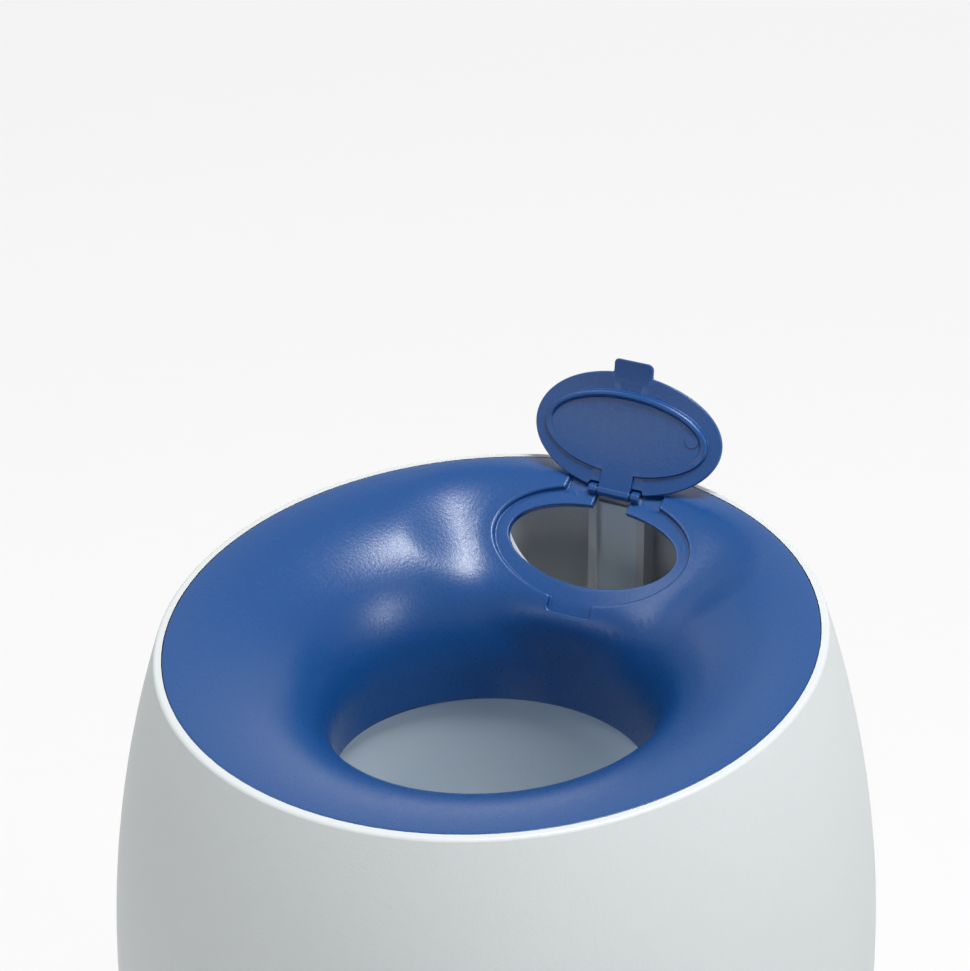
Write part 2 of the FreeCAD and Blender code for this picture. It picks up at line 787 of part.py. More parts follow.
extrude(ramp, "Pocket", sketch, "collar_high - collar_low")
for side in (-1, 1):
    for place in ("ramp_tab_front", "ramp_tab_back"):
        sketch = new_sketch(ramp, "XY_Plane", "ramp_foot")
        near = f"{side} * (ramp_inside / 2 + ramp_wall / 2)"
        far = f"{side} * (ramp_inside / 2 + ramp_wall + ramp_tab_length)"
        left, right = (near, far) if side > 0 else (far, near)
        add_box(sketch, left, right, f"{place} - ramp_tab_width / 2", f"{place} + ramp_tab_width / 2")
        extrude(ramp, "Pad", sketch, "ramp_tab_thick")
tab_x = "(ramp_inside / 2 + ramp_wall + ramp_tab_length / 2)"
sketch = new_sketch(ramp, "XY_Plane", "ramp_foot - 1")
for side in (-1, 1):
    for place in ("ramp_tab_front", "ramp_tab_back"):
        add_circle(sketch, f"{side} * {tab_x}", place, "screw_radius + screw_play")
extrude(ramp, "Pocket", sketch, "ramp_tab_thick + 2")
sketch = new_sketch(ramp, "XY_Plane", "ramp_foot + 6")
slot_half = "treadle_slot_width / 2"
add_box(sketch, "-" + slot_half, slot_half, "treadle_slot_front", "treadle_slot_back")
extrude(ramp, "Pocket", sketch, "60")
sketch = new_sketch(ramp, "XZ_Plane", "-ramp_back - 6")
add_box(sketch, "-spout_window_width / 2", "spout_window_width / 2", "spout_window_low", "spout_window_high")
extrude(ramp, "Pocket", sketch, "38")
for side in (-1, 1):
    sketch = new_sketch(ramp, "XZ_Plane", "-housing_boss_reach")
    add_circle(sketch, f"{side} * housing_boss_x", "housing_boss_z", "boss_radius")
    extrude(ramp, "Pad", sketch, "housing_boss_reach - ramp_back - ramp_wall / 2")
sketch = new_sketch(ramp, "XZ_Plane", "-housing_boss_reach")
for side in (-1, 1):
    add_circle(sketch, f"{side} * housing_boss_x", "housing_boss_z", "screw_radius + screw_bite")
extrude(ramp, "Pocket", sketch, "housing_boss_reach - ramp_back - ramp_wall - 0.4")

# Drum housing: case with the drum's bore, its inlet, the spout to the slide and the push rod's guides

housing = new_body("drum_housing")
sketch = new_sketch(housing, "YZ_Plane")
add_outline(
    sketch,
    [
        ("housing_front", "housing_top"),
        ("housing_front", "drum_z"),
        ("housing_front - 2.5", "drum_z - 4"),
        ("housing_front - spout_reach", "spout_low"),
        ("drum_y - 8", "housing_bottom"),
        ("housing_back", "housing_bottom"),
        ("housing_back", "housing_top"),
    ],
)
extrude(housing, "Pad", sketch, "housing_width", both_ways=True)
sketch = new_sketch(housing, "YZ_Plane")
add_circle(sketch, "drum_y", "drum_z", "drum_radius + drum_play")
extrude(housing, "Pocket", sketch, "drum_length + 2 * drum_play", both_ways=True)
sketch = new_sketch(housing, "YZ_Plane")
add_box(sketch, "inlet_front", "inlet_back", "drum_z", "housing_top + 1")
extrude(housing, "Pocket", sketch, "inlet_length", both_ways=True)
sketch = new_sketch(housing, "YZ_Plane")
add_outline(
    sketch,
    [
        ("drum_y - 8", "drum_z - 13"),
        ("drum_y - 12", "drum_z - 3"),
        ("housing_front - 8", "drum_z - 2.5"),
        ("housing_front - spout_reach - 7.5", "drum_z - 20"),
        ("housing_front - spout_reach - 7.5", "spout_low - 1.9"),
    ],
)
extrude(housing, "Pocket", sketch, "inlet_length", both_ways=True)
sketch = new_sketch(housing, "YZ_Plane")
add_circle(sketch, "drum_y", "drum_z", "drum_shaft_radius + lever_play")
extrude(housing, "Pocket", sketch, "housing_width + 4", both_ways=True)
guide_right = "rod_left + rod_width + guide_play + guide_wall"
for level in ("guide_low", "guide_high"):
    sketch = new_sketch(housing, "XY_Plane", level)
    add_box(
        sketch,
        "housing_width / 2 - 2",
        guide_right,
        "rod_front + 1",
        "rod_back + guide_play + guide_wall",
    )
    extrude(housing, "Pad", sketch, "5")
sketch = new_sketch(housing, "XY_Plane", "guide_low - 5")
add_box(
    sketch,
    "rod_left - guide_play",
    "rod_left + rod_width + guide_play",
    "rod_front - guide_play",
    "rod_back + guide_play",
)
extrude(housing, "Pocket", sketch, "60")
for side in (-1, 1):
    sketch = new_sketch(housing, "XZ_Plane", "-housing_boss_reach - flange_thick")
    inner = f"{side} * (housing_width / 2 - 2)"
    outer = f"{side} * (housing_boss_x + 4.5)"
    left, right = (inner, outer) if side > 0 else (outer, inner)
    add_box(sketch, left, right, "housing_boss_z - 5", "housing_boss_z + 5")
    extrude(housing, "Pad", sketch, "flange_thick")
sketch = new_sketch(housing, "XZ_Plane", "-housing_boss_reach - flange_thick - 1")
for side in (-1, 1):
    add_circle(sketch, f"{side} * housing_boss_x", "housing_boss_z", "screw_radius + screw_play")
extrude(housing, "Pocket", sketch, "flange_thick + 2")
sketch = new_sketch(housing, "XY_Plane", "housing_top - 8")
for side in (-1, 1):
    add_circle(sketch, f"{side} * ear_x", "ear_y", "screw_radius + screw_bite")
extrude(housing, "Pocket", sketch, "9")
# Seat of the return spring, over the push rod, on a spine that joins the two guides
sketch = new_sketch(housing, "XY_Plane", "guide_low")
add_box(
    sketch,
    "housing_width / 2 + 0.3",
    guide_right,
    "rod_back + guide_play",
    "rod_back + guide_play + guide_wall",
)
extrude(housing, "Pad", sketch, "spring_seat + 2 - guide_low")
sketch = new_sketch(housing, "XY_Plane", "spring_seat")
add_box(sketch, "housing_width / 2 + 0.3", guide_right, "rod_front - 1", "rod_back + guide_play + guide_wall")
extrude(housing, "Pad", sketch, "2")

# Dosing drum with its treat pocket, on a steel shaft with a pinion and two retaining clips

drum = new_body("dosing_drum")
sketch = new_sketch(drum, "YZ_Plane")
add_circle(sketch, "drum_y", "drum_z", "drum_radius")
extrude(drum, "Pad", sketch, "drum_length", both_ways=True)
sketch = new_sketch(drum, "YZ_Plane")
add_outline(
    sketch,
    [
        ("drum_y - pocket_width / 2", "drum_z + drum_radius + 1"),
        ("drum_y - pocket_width / 2 + 2", "drum_z + pocket_floor"),
        ("drum_y + pocket_width / 2 - 2", "drum_z + pocket_floor"),
        ("drum_y + pocket_width / 2", "drum_z + drum_radius + 1"),
    ],
)
extrude(drum, "Pocket", sketch, "pocket_length", both_ways=True)
sketch = new_sketch(drum, "YZ_Plane")
add_circle(sketch, "drum_y", "drum_z", "drum_shaft_radius")
extrude(drum, "Pocket", sketch, "drum_length + 2", both_ways=True)


def make_shaft(label, radius, left, right, y, z):
    """A steel rod along X whose length and radius follow the sheet."""
    rod = doc.addObject("Part::Cylinder", label)
    rod.Label = label
    rod.setExpression("Radius", bound(radius))
    rod.setExpression("Height", bound(f"{right} - ({left})"))
    rod.Placement = Placement(Vector(amount(left), amount(y), amount(z)), Rotation(Vector(0, 1, 0), 90))
    return rod


make_shaft("drum_shaft", "drum_shaft_radius", "drum_shaft_left", "drum_shaft_right", "drum_y", "drum_z")

pinion = new_body("drum_pinion")
pinion.Placement = Placement(Vector(size("pinion_left"), size("drum_y"), size("drum_z")), Rotation())
sketch = new_sketch(pinion, "YZ_Plane")
add_circle(sketch, "0", "0", "pinion_teeth * tooth_module / 2 - 1.2 * tooth_module")
extrude(pinion, "Pad", sketch, "pinion_width")
sketch = new_sketch(pinion, "YZ_Plane")
root = "pinion_teeth * tooth_module / 2 - 1.5 * tooth_module"
tip = "pinion_teeth * tooth_module / 2 + 0.75 * tooth_module"
add_outline(
    sketch,
    [
        (root, "-0.95 * tooth_module"),
        (tip, "-0.32 * tooth_module"),
        (tip, "0.32 * tooth_module"),
        (root, "0.95 * tooth_module"),
    ],
)
tooth = extrude(pinion, "Pad", sketch, "pinion_width")
pattern(pinion, [tooth], "pinion_teeth", angle=360, axis="X_Axis")
sketch = new_sketch(pinion, "YZ_Plane")
add_circle(sketch, "0", "0", "drum_shaft_radius")
bore = extrude(pinion, "Pocket", sketch, "pinion_width + 1")
bore.Reversed = True
pinion.Tip = bore

clips = []
for left in ("-housing_width / 2 - clip_thick - 0.4", "pinion_left + pinion_width + 0.6"):
    start = amount(left)
    disc = cylinder_x(size("clip_radius"), start, start + size("clip_thick"), size("drum_y"), size("drum_z"))
    hole = cylinder_x(size("drum_shaft_radius"), start - 1, start + 2, size("drum_y"), size("drum_z"))
    gap = size("clip_mouth")
    mouth = Part.makeBox(2, gap, 6, Vector(start - 0.5, size("drum_y") - gap / 2, size("drum_z") - 6))
    clips.append(disc.cut(hole).cut(mouth))
place_shape("shaft_clips", Part.makeCompound(clips))

# Push rod: lifted by the lever's rear arm, its rack turns the drum's pinion

rod = new_body("push_rod")
sketch = new_sketch(rod, "YZ_Plane", "rod_left")
add_box(sketch, "rod_front", "rod_back", "rod_bottom", "rod_top")
extrude(rod, "Pad", sketch, "rod_width")
sketch = new_sketch(rod, "YZ_Plane", "rod_left")
pitch = "(pi * tooth_module)"
tooth_z = f"(drum_z - {pitch} / 2 - 5 * {pitch})"
add_outline(
    sketch,
    [
        ("rod_front + 0.2", f"{tooth_z} - 0.98 * tooth_module"),
        ("rod_front + 0.2", f"{tooth_z} + 0.98 * tooth_module"),
        ("drum_y + pinion_teeth * tooth_module / 2 - 0.75 * tooth_module", f"{tooth_z} + 0.3 * tooth_module"),
        ("drum_y + pinion_teeth * tooth_module / 2 - 0.75 * tooth_module", f"{tooth_z} - 0.3 * tooth_module"),
    ],
)
rack_tooth = extrude(rod, "Pad", sketch, "rod_width")
pattern(rod, [rack_tooth], "rack_teeth", length=f"(rack_teeth - 1) * {pitch}")
rear_y = "(lever_y + rear_arm * cos(rear_arm_drop * 1 deg))"
rear_z = "(lever_z - rear_arm * sin(rear_arm_drop * 1 deg))"
sketch = new_sketch(rod, "YZ_Plane", "rod_left")
add_box(sketch, f"{rear_y} - 4.6", f"{rear_y} + 5.4", "rod_bottom", "rod_bottom + 11")
head = extrude(rod, "Pad", sketch, "rod_width")
rod.Tip = head
sketch = new_sketch(rod, "YZ_Plane", "rod_left")
add_box(
    sketch,
    f"{rear_y} - rear_pin - 0.6",
    f"{rear_y} + rear_pin + 0.6",
    f"{rear_z} - rear_pin - 0.1",
    f"{rear_z} + rear_pin + 0.1",
)
slot = extrude(rod, "Pocket", sketch, "rod_width")
rod.Tip = slot


def make_return_spring():
    """Compression spring between the push rod's top and the housing's bracket."""
    low = size("rod_top") + size("spring_wire")
    height = size("spring_seat") - size("rod_top") - 2 * size("spring_wire")
    radius = size("spring_radius")
    middle = Vector(size("rod_left") + size("rod_width") / 2, (size("rod_front") + size("rod_back")) / 2, low)
    helix = Part.makeHelix(height / size("spring_turns"), height, radius)
    section = Part.Wire([Part.Circle(Vector(radius, 0, 0), Vector(0, 1, 0), size("spring_wire")).toShape()])
    coil = Part.Wire(helix.Edges).makePipeShell([section], True, False)
    coil.translate(middle)
    return coil


place_shape("return_spring", make_return_spring())

# Trigger lever: treadle in the slide's floor, hub on the shaft, and the arm that lifts the push rod

lever = new_body("trigger_lever")
sketch = new_sketch(lever, "YZ_Plane")
add_outline(
    sketch,
    [
        ("treadle_front", "treadle_low + 3.5"),
        ("treadle_front + 1", "treadle_low"),
        ("treadle_back - 1.5", "treadle_low + 1.5"),
        ("treadle_back", "treadle_low + 8.5"),
        ("treadle_back - 8", "treadle_top - 0.4"),
        ("treadle_back - 15", "treadle_top"),
    ],
    {4: ("treadle_nose", 1)},
)
extrude(lever, "Pad", sketch, "treadle_width", both_ways=True)
sketch = new_sketch(lever, "YZ_Plane")
add_outline(
    sketch,
    [
        ("treadle_back - 9.5", "treadle_low - 2.5"),
        ("lever_y - 4", "lever_z - lever_hub + 0.5"),
        ("lever_y + 1", "lever_z + lever_hub - 0.5"),
        ("lever_y - 18", "lever_z + 10"),
        ("treadle_back - 3.5", "treadle_low + 4.5"),
    ],
)
extrude(lever, "Pad", sketch, "lever_arm_width", both_ways=True)
sketch = new_sketch(lever, "YZ_Plane", "-lever_arm_width / 2 - 1")
add_circle(sketch, "lever_y", "lever_z", "lever_hub")
extrude(lever, "Pad", sketch, "lever_arm_width / 2 + 1 + rear_arm_left + rear_arm_width")
sketch = new_sketch(lever, "YZ_Plane", "rear_arm_left")
add_outline(
    sketch,
    [
        ("lever_y", "lever_z - lever_hub + 0.2"),
        (f"{rear_y} + 0.2", f"{rear_z} - 3.2"),
        (f"{rear_y} + 3.2", f"{rear_z} + 0.2"),
        (f"{rear_y}", f"{rear_z} + 3.2"),
        ("lever_y", "lever_z + lever_hub - 0.2"),
    ],
    {1: ("3.4", 1), 2: ("3.4", 1)},
)
extrude(lever, "Pad", sketch, "rear_arm_width")
sketch = new_sketch(lever, "YZ_Plane", "rod_left + 0.4")
add_circle(sketch, rear_y, rear_z, "rear_pin")
extrude(lever, "Pad", sketch, "rear_arm_left + 1 - rod_left - 0.4")
sketch = new_sketch(lever, "YZ_Plane")
add_circle(sketch, "lever_y", "lever_z", "lever_shaft_radius + lever_play")
extrude(lever, "Pocket", sketch, "120", both_ways=True)

post_end = "post_right + post_width + 1"
make_shaft("trigger_shaft", "lever_shaft_radius", "post_left - 1", post_end, "lever_y", "lever_z")

# Base plate with an upstand, two posts for the trigger shaft and bosses for the ramp

plate = new_body("base_plate")
plate_top = "(shell_bottom + plate_thick)"
plate_radius = "(belly_radius - wall - plate_gap - 11.5)"
sketch = new_sketch(plate, "XY_Plane", "shell_bottom")
add_circle(sketch, "0", "0", plate_radius)
extrude(plate, "Pad", sketch, "plate_thick")
sketch = new_sketch(plate, "XY_Plane", plate_top + " - 0.5")
add_circle(sketch, "0", "0", plate_radius)
add_circle(sketch, "0", "0", plate_radius + " - 2.2")
extrude(plate, "Pad", sketch, "plate_rim + 0.5")
for offset in ("post_left", "post_right"):
    sketch = new_sketch(plate, "YZ_Plane", offset)
    add_outline(
        sketch,
        [
            ("lever_y - 12", plate_top + " - 0.5"),
            ("lever_y + 12", plate_top + " - 0.5"),
            ("lever_y + 5", "lever_z"),
            ("lever_y - 5", "lever_z"),
        ],
        {2: ("5.6", 1)},
    )
    extrude(plate, "Pad", sketch, "post_width")
for side in (-1, 1):
    for place in ("ramp_tab_front", "ramp_tab_back"):
        sketch = new_sketch(plate, "XY_Plane", plate_top + " - 0.5")
        add_circle(sketch, f"{side} * {tab_x}", place, "boss_radius")
        extrude(plate, "Pad", sketch, f"ramp_foot - {plate_top} + 0.5")
sketch = new_sketch(plate, "YZ_Plane")
add_circle(sketch, "lever_y", "lever_z", "lever_shaft_radius")
extrude(plate, "Pocket", sketch, "150", both_ways=True)
BASE_SCREW_ANGLES = [0, 60, 120, 180, -40, -140]
FOOT_NAMES = {"foot_rear_right": 45, "foot_rear_left": 135, "foot_front_left": -135, "foot_front_right": -45}
sketch = new_sketch(plate, "XY_Plane", "shell_bottom - 1")
for angle in BASE_SCREW_ANGLES:
    place = [f"base_screw_radius * {axis}({angle} * 1 deg)" for axis in ("cos", "sin")]
    add_circle(sketch, place[0], place[1], "screw_radius + screw_play")
for angle in FOOT_NAMES.values():
    place = [f"foot_circle * {axis}({angle} * 1 deg)" for axis in ("cos", "sin")]
    add_circle(sketch, place[0], place[1], "foot_stem + screw_bite")
extrude(plate, "Pocket", sketch, "plate_thick + 2")
sketch = new_sketch(plate, "XY_Plane", "shell_bottom + 1")
for side in (-1, 1):
    for place in ("ramp_tab_front", "ramp_tab_back"):
        add_circle(sketch, f"{side} * {tab_x}", place, "screw_radius + screw_bite")
extrude(plate, "Pocket", sketch, "ramp_foot")

# Rubber feet: a soft pad with a stem pressed through the base plate

for label, angle in FOOT_NAMES.items():
    foot = new_body(label)
    turn = Rotation(Vector(0, 0, 1), angle)
    foot.Placement = Placement(turn.multVec(Vector(size("foot_circle"), 0, 0)), Rotation())
    sketch = new_sketch(foot, "XY_Plane")
    add_circle(sketch, "0", "0", "foot_radius")
    extrude(foot, "Pad", sketch, "shell_bottom")
    sketch = new_sketch(foot, "XY_Plane", "shell_bottom - 0.5")
    add_circle(sketch, "0", "0", "foot_stem")
    extrude(foot, "Pad", sketch, "plate_thick + 2.5")
    doc.recompute()
    stem = foot.Tip
    bottom = next(
        f"Edge{number}"
        for number, curve in enumerate(foot.Shape.Edges, start=1)
        if curve.BoundBox.ZMax < 0.01 and curve.Closed
    )
    chamfer = foot.newObject("PartDesign::Chamfer", label + "_chamfer")
    chamfer.Base = (stem, [bottom])
    chamfer.Size = 0.8

# Outlet frame: blue arch that lines the shell's opening, with a flange outside and a sill


def arch(inset, low, high):
    """The outlet's arch as a prism along Y, moved in by inset."""
    half = size("outlet_width") / 2 - inset
    sill = size("outlet_sill") + inset
    spring = size("outlet_spring")
    left = Vector(-half, low, sill)
    right = Vector(half, low, sill)
    left_spring = Vector(-half, low, spring)
    right_spring = Vector(half, low, spring)
    edges = [
        Part.LineSegment(left, right).toShape(),
        Part.LineSegment(right, right_spring).toShape(),
        Part.Arc(right_spring, Vector(0, low, spring + half), left_spring).toShape(),
        Part.LineSegment(left_spring, left).toShape(),
    ]
    return Part.Face(Part.Wire(edges)).extrude(Vector(0, high - low, 0))


def make_outlet_frame():
    front = -size("belly_radius") - 10
    back = size("frame_inner_plane")
    lining = arch(size("seam_gap"), front, back)
    lining = lining.cut(arch(size("seam_gap") + size("frame_wall"), front - 1, back + 1))
    flange = arch(-size("frame_flange"), front, back)
    flange = flange.cut(arch(size("seam_gap") + size("frame_wall"), front - 1, back + 1))
    flange = flange.cut(barrel(-size("screw_bite")))
    frame = lining.fuse(flange).common(barrel(-size("frame_stand")))
    return frame.removeSplitter()


place_shape("outlet_frame", make_outlet_frame())

# Shell: pale barrel with a slanted rounded lip, the outlet arch, lugs for the ring and bosses for the base


def make_body_shell():
    outer = barrel(0)
    reach = 300
    tilt = Rotation(Vector(1, 0, 0), size("rim_tilt"))
    above = Part.makeBox(reach, reach, 80, Vector(-reach / 2, -reach / 2, 0))
    above.Placement = Placement(Vector(0, 0, size("rim_height")), tilt).multiply(above.Placement)
    below = Part.makeBox(reach, reach, size("shell_bottom"), Vector(-reach / 2, -reach / 2, 0))
    shell = outer.cut([barrel(size("wall")), above, below])
    lip = [edge for edge in shell.Edges if on_outer_lip(edge)]
    shell = shell.makeFillet(size("lip_round"), lip)
    limit = barrel(size("wall") / 2)
    additions = []
    for x, y in boss_places(size("base_screw_radius"), BASE_SCREW_ANGLES):
        low = size("shell_bottom") + size("plate_thick") + 0.2
        outward = Vector(x, y, 0).normalize()
        boss = cylinder_z(size("boss_radius"), low, size("shell_boss_top"), x, y)
        rib_low = size("shell_bottom") + size("plate_thick") + size("plate_rim") + 0.4
        rib = Part.makeBox(22, 2.4, size("shell_boss_top") - rib_low, Vector(2, -1.2, rib_low))
        rib.Placement = Placement(Vector(x, y, 0), Rotation(Vector(1, 0, 0), outward)).multiply(rib.Placement)
        additions += [boss, rib.common(limit)]
    for x, y in boss_places(size("ring_boss_circle"), RING_BOSS_ANGLES):
        outward = Vector(x, y, 0).normalize()
        lug = Part.makeBox(40, 12, size("lug_thick"), Vector(-6, -6, size("lug_top") - size("lug_thick")))
        rib = Part.makeBox(30, 2.2, 14, Vector(5, -1.1, size("lug_top") - size("lug_thick") - 14))
        web = lug.fuse(rib)
        web.Placement = Placement(Vector(x, y, 0), Rotation(Vector(1, 0, 0), outward))
        additions.append(web.common(limit))
    shell = shell.fuse(additions)
    cuts = [arch(0, -size("belly_radius") - 10, 0)]
    pilot = size("screw_radius") + size("screw_bite")
    clear = size("screw_radius") + size("screw_play")
    for x, y in boss_places(size("base_screw_radius"), BASE_SCREW_ANGLES):
        cuts.append(cylinder_z(pilot, 0, size("shell_boss_top") - 4, x, y))
    for x, y in boss_places(size("ring_boss_circle"), RING_BOSS_ANGLES):
        cuts.append(cylinder_z(clear, size("lug_top") - 6, size("lug_top") + 1, x, y))
    return shell.cut(cuts).removeSplitter()


def on_outer_lip(edge):
    """True for the outer edge of the shell's slanted top."""
    slant = math.tan(math.radians(size("rim_tilt")))
    for point in edge.discretize(7):
        outside = math.hypot(point.x, point.y)
        azimuth = math.atan2(point.y, point.x)
        if abs(point.z - size("rim_height") - point.y * slant) > 0.05:
            return False
        if abs(outside - math.hypot(rim_point(azimuth, 0).x, rim_point(azimuth, 0).y)) > 0.3:
            return False
    return True


place_shape("body_shell", make_body_shell())

# Screws: pan head and shank, each kind one group


def screw(x, y, seat, length, head_down):
    """A vertical screw whose head bears on the height seat."""
    direction = 1 if head_down else -1
    head_low = seat - size("screw_head_height") if head_down else seat
    head = cylinder_z(size("screw_head"), head_low, head_low + size("screw_head_height"), x, y)
    outer = outer_z(head, head_down)
    rim = [edge for edge in head.Edges if edge.Closed and abs(edge.BoundBox.ZMin - outer) < CUT_OVERRUN]
    head = head.makeFillet(size("screw_head_round"), rim)
    low, high = sorted((seat, seat + direction * length))
    shank = cylinder_z(size("screw_radius"), low, high, x, y)
    recess = cylinder_z(size("screw_recess"), outer - 1, outer + 1, x, y)
    return head.fuse(shank).cut(recess)


def outer_z(head, head_down):
    return head.BoundBox.ZMin if head_down else head.BoundBox.ZMax


def screw_group(label, places, seat, length, head_down):
    place_shape(label, Part.makeCompound([screw(x, y, seat, length, head_down) for x, y in places]))


screw_group(
    "base_screws", boss_places(size("base_screw_radius"), BASE_SCREW_ANGLES), size("shell_bottom"), 16, True
)
screw_group(
    "ring_screws",
    boss_places(size("ring_boss_circle"), RING_BOSS_ANGLES),
    size("lug_top") - size("lug_thick"),
    12,
    True,
)
tab_places = []
for side in (-1, 1):
    tab_places += [(side * amount(tab_x), size(place)) for place in ("ramp_tab_front", "ramp_tab_back")]
screw_group("ramp_screws", tab_places, size("ramp_foot") + size("ramp_tab_thick"), 9, False)
ear_places = [(side * size("ear_x"), size("ear_y")) for side in (-1, 1)]
screw_group("hopper_screws", ear_places, size("hopper_bottom"), 9, False)
side_screws = []
seat_y = size("housing_boss_reach") + size("flange_thick")
for side in (-1, 1):
    standing = screw(0, 0, 0, 8, False)
    seat_place = Vector(side * size("housing_boss_x"), seat_y, size("housing_boss_z"))
    standing.Placement = Placement(seat_place, Rotation(Vector(1, 0, 0), -90))
    side_screws.append(standing)
place_shape("housing_screws", Part.makeCompound(side_screws))

# Check every object, then write one file for each piece

NODES = [
    "body_shell",
    "funnel_ring",
    "hopper_lid",
    "lid_hinge_pin",
    "treat_hopper",
    "portion_gate",
    "ball_ramp",
    "drum_housing",
    "dosing_drum",
    "drum_shaft",
    "drum_pinion",
    "shaft_clips",
    "push_rod",
    "return_spring",
    "trigger_lever",
    "trigger_shaft",
    "outlet_frame",
    "base_plate",
    "foot_front_left",
    "foot_front_right",
    "foot_rear_left",
    "foot_rear_right",
    "base_screws",
    "ring_screws",
    "ramp_screws",
    "hopper_screws",
    "housing_screws",
]

doc.recompute()
faults = [item.Label for item in doc.Objects if "Invalid" in item.State or "Error" in item.State]
for label in NODES:
    piece = doc.getObjectsByLabel(label)[0]
    if piece.Shape.isNull() or not piece.Shape.isValid():
        faults.append(label)
if faults:
    raise RuntimeError("failed: " + ", ".join(faults))
os.makedirs("parts", exist_ok=True)
for label in NODES:
    piece = doc.getObjectsByLabel(label)[0]
    piece.Shape.exportStep(os.path.join("parts", label + ".step"))
    bounds = piece.Shape.BoundBox
    print(
        f"{label}: {len(piece.Shape.Solids)} solid, {piece.Shape.Volume / 1000:.2f} cm3,"
        f" x {bounds.XMin:.1f} {bounds.XMax:.1f} y {bounds.YMin:.1f} {bounds.YMax:.1f}"
        f" z {bounds.ZMin:.1f} {bounds.ZMax:.1f}"
    )
print(f"lid hinge at y {HINGE.y:.2f} z {HINGE.z:.2f}")
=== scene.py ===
import math

import bmesh
import bpy
import numpy as np
from mathutils import Matrix, Vector
from mathutils.geometry import delaunay_2d_cdt


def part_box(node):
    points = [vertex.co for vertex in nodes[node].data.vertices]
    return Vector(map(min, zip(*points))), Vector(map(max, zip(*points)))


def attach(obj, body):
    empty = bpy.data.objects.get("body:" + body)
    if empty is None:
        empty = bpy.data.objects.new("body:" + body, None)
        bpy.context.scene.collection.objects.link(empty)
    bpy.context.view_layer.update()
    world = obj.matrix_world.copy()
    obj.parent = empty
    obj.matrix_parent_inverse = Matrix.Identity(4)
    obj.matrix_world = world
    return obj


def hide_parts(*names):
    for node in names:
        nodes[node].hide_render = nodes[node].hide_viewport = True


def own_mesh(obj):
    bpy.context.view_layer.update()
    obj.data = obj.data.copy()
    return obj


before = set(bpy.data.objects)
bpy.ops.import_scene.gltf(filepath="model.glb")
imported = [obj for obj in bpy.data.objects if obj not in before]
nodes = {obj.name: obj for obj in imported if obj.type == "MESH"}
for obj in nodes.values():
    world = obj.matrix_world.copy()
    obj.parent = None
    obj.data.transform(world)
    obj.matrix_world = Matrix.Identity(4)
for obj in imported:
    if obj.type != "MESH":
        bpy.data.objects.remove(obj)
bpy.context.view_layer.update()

# Base plate: a pale satin disc that closes the barrel from below, injection-moulded in one with an
# upstand that centres it, the trigger's two posts and the slide's bosses. Six screws hold it.


def moulded_surface():
    """Grain, flow marks and settled dust of injection-moulded plastic, as masks and a height."""
    group = bpy.data.node_groups.new("moulded_surface", "ShaderNodeTree")
    for name, value in (("Grain size", 1800.0), ("Flow", 0.5), ("Dust", 0.2)):
        socket = group.interface.new_socket(name=name, in_out="INPUT", socket_type="NodeSocketFloat")
        socket.default_value = value
    for name in ("Height", "Flow mask", "Dust mask"):
        group.interface.new_socket(name=name, in_out="OUTPUT", socket_type="NodeSocketFloat")
    tree = group.nodes
    link = group.links.new
    given = tree.new("NodeGroupInput")
    result = tree.new("NodeGroupOutput")
    place = tree.new("ShaderNodeTexCoord")

    grain = tree.new("ShaderNodeTexNoise")
    grain.inputs["Detail"].default_value = 3.0
    grain.inputs["Roughness"].default_value = 0.6
    link(place.outputs["Object"], grain.inputs["Vector"])
    link(given.outputs["Grain size"], grain.inputs["Scale"])
    pits = tree.new("ShaderNodeTexVoronoi")
    link(place.outputs["Object"], pits.inputs["Vector"])
    link(given.outputs["Grain size"], pits.inputs["Scale"])
    both = tree.new("ShaderNodeMath")
    both.operation = "MULTIPLY_ADD"
    both.inputs[1].default_value = 0.35
    link(pits.outputs["Distance"], both.inputs[0])
    link(grain.outputs["Fac"], both.inputs[2])
    link(both.outputs[0], result.inputs["Height"])

    stretch = tree.new("ShaderNodeMapping")
    stretch.inputs["Scale"].default_value = (9.0, 9.0, 3.0)
    link(place.outputs["Object"], stretch.inputs["Vector"])
    drift = tree.new("ShaderNodeTexNoise")
    drift.inputs["Scale"].default_value = 1.6
    drift.inputs["Detail"].default_value = 5.0
    drift.inputs["Distortion"].default_value = 0.8
    link(stretch.outputs["Vector"], drift.inputs["Vector"])
    flow = tree.new("ShaderNodeMath")
    flow.operation = "MULTIPLY"
    link(drift.outputs["Fac"], flow.inputs[0])
    link(given.outputs["Flow"], flow.inputs[1])
    link(flow.outputs[0], result.inputs["Flow mask"])

    specks = tree.new("ShaderNodeTexNoise")
    specks.inputs["Scale"].default_value = 420.0
    specks.inputs["Detail"].default_value = 6.0
    specks.inputs["Roughness"].default_value = 0.75
    link(place.outputs["Object"], specks.inputs["Vector"])
    sharp = tree.new("ShaderNodeMapRange")
    sharp.inputs["From Min"].default_value = 0.56
    sharp.inputs["From Max"].default_value = 0.74
    link(specks.outputs["Fac"], sharp.inputs["Value"])
    facing = tree.new("ShaderNodeNewGeometry")
    split = tree.new("ShaderNodeSeparateXYZ")
    link(facing.outputs["Normal"], split.inputs["Vector"])
    upward = tree.new("ShaderNodeMapRange")
    upward.inputs["From Min"].default_value = -0.2
    upward.inputs["From Max"].default_value = 1.0
    upward.inputs["To Min"].default_value = 0.15
    link(split.outputs["Z"], upward.inputs["Value"])
    settled = tree.new("ShaderNodeMath")
    settled.operation = "MULTIPLY"
    link(sharp.outputs["Result"], settled.inputs[0])
    link(upward.outputs["Result"], settled.inputs[1])
    amount = tree.new("ShaderNodeMath")
    amount.operation = "MULTIPLY"
    link(settled.outputs[0], amount.inputs[0])
    link(given.outputs["Dust"], amount.inputs[1])
    link(amount.outputs[0], result.inputs["Dust mask"])
    return group


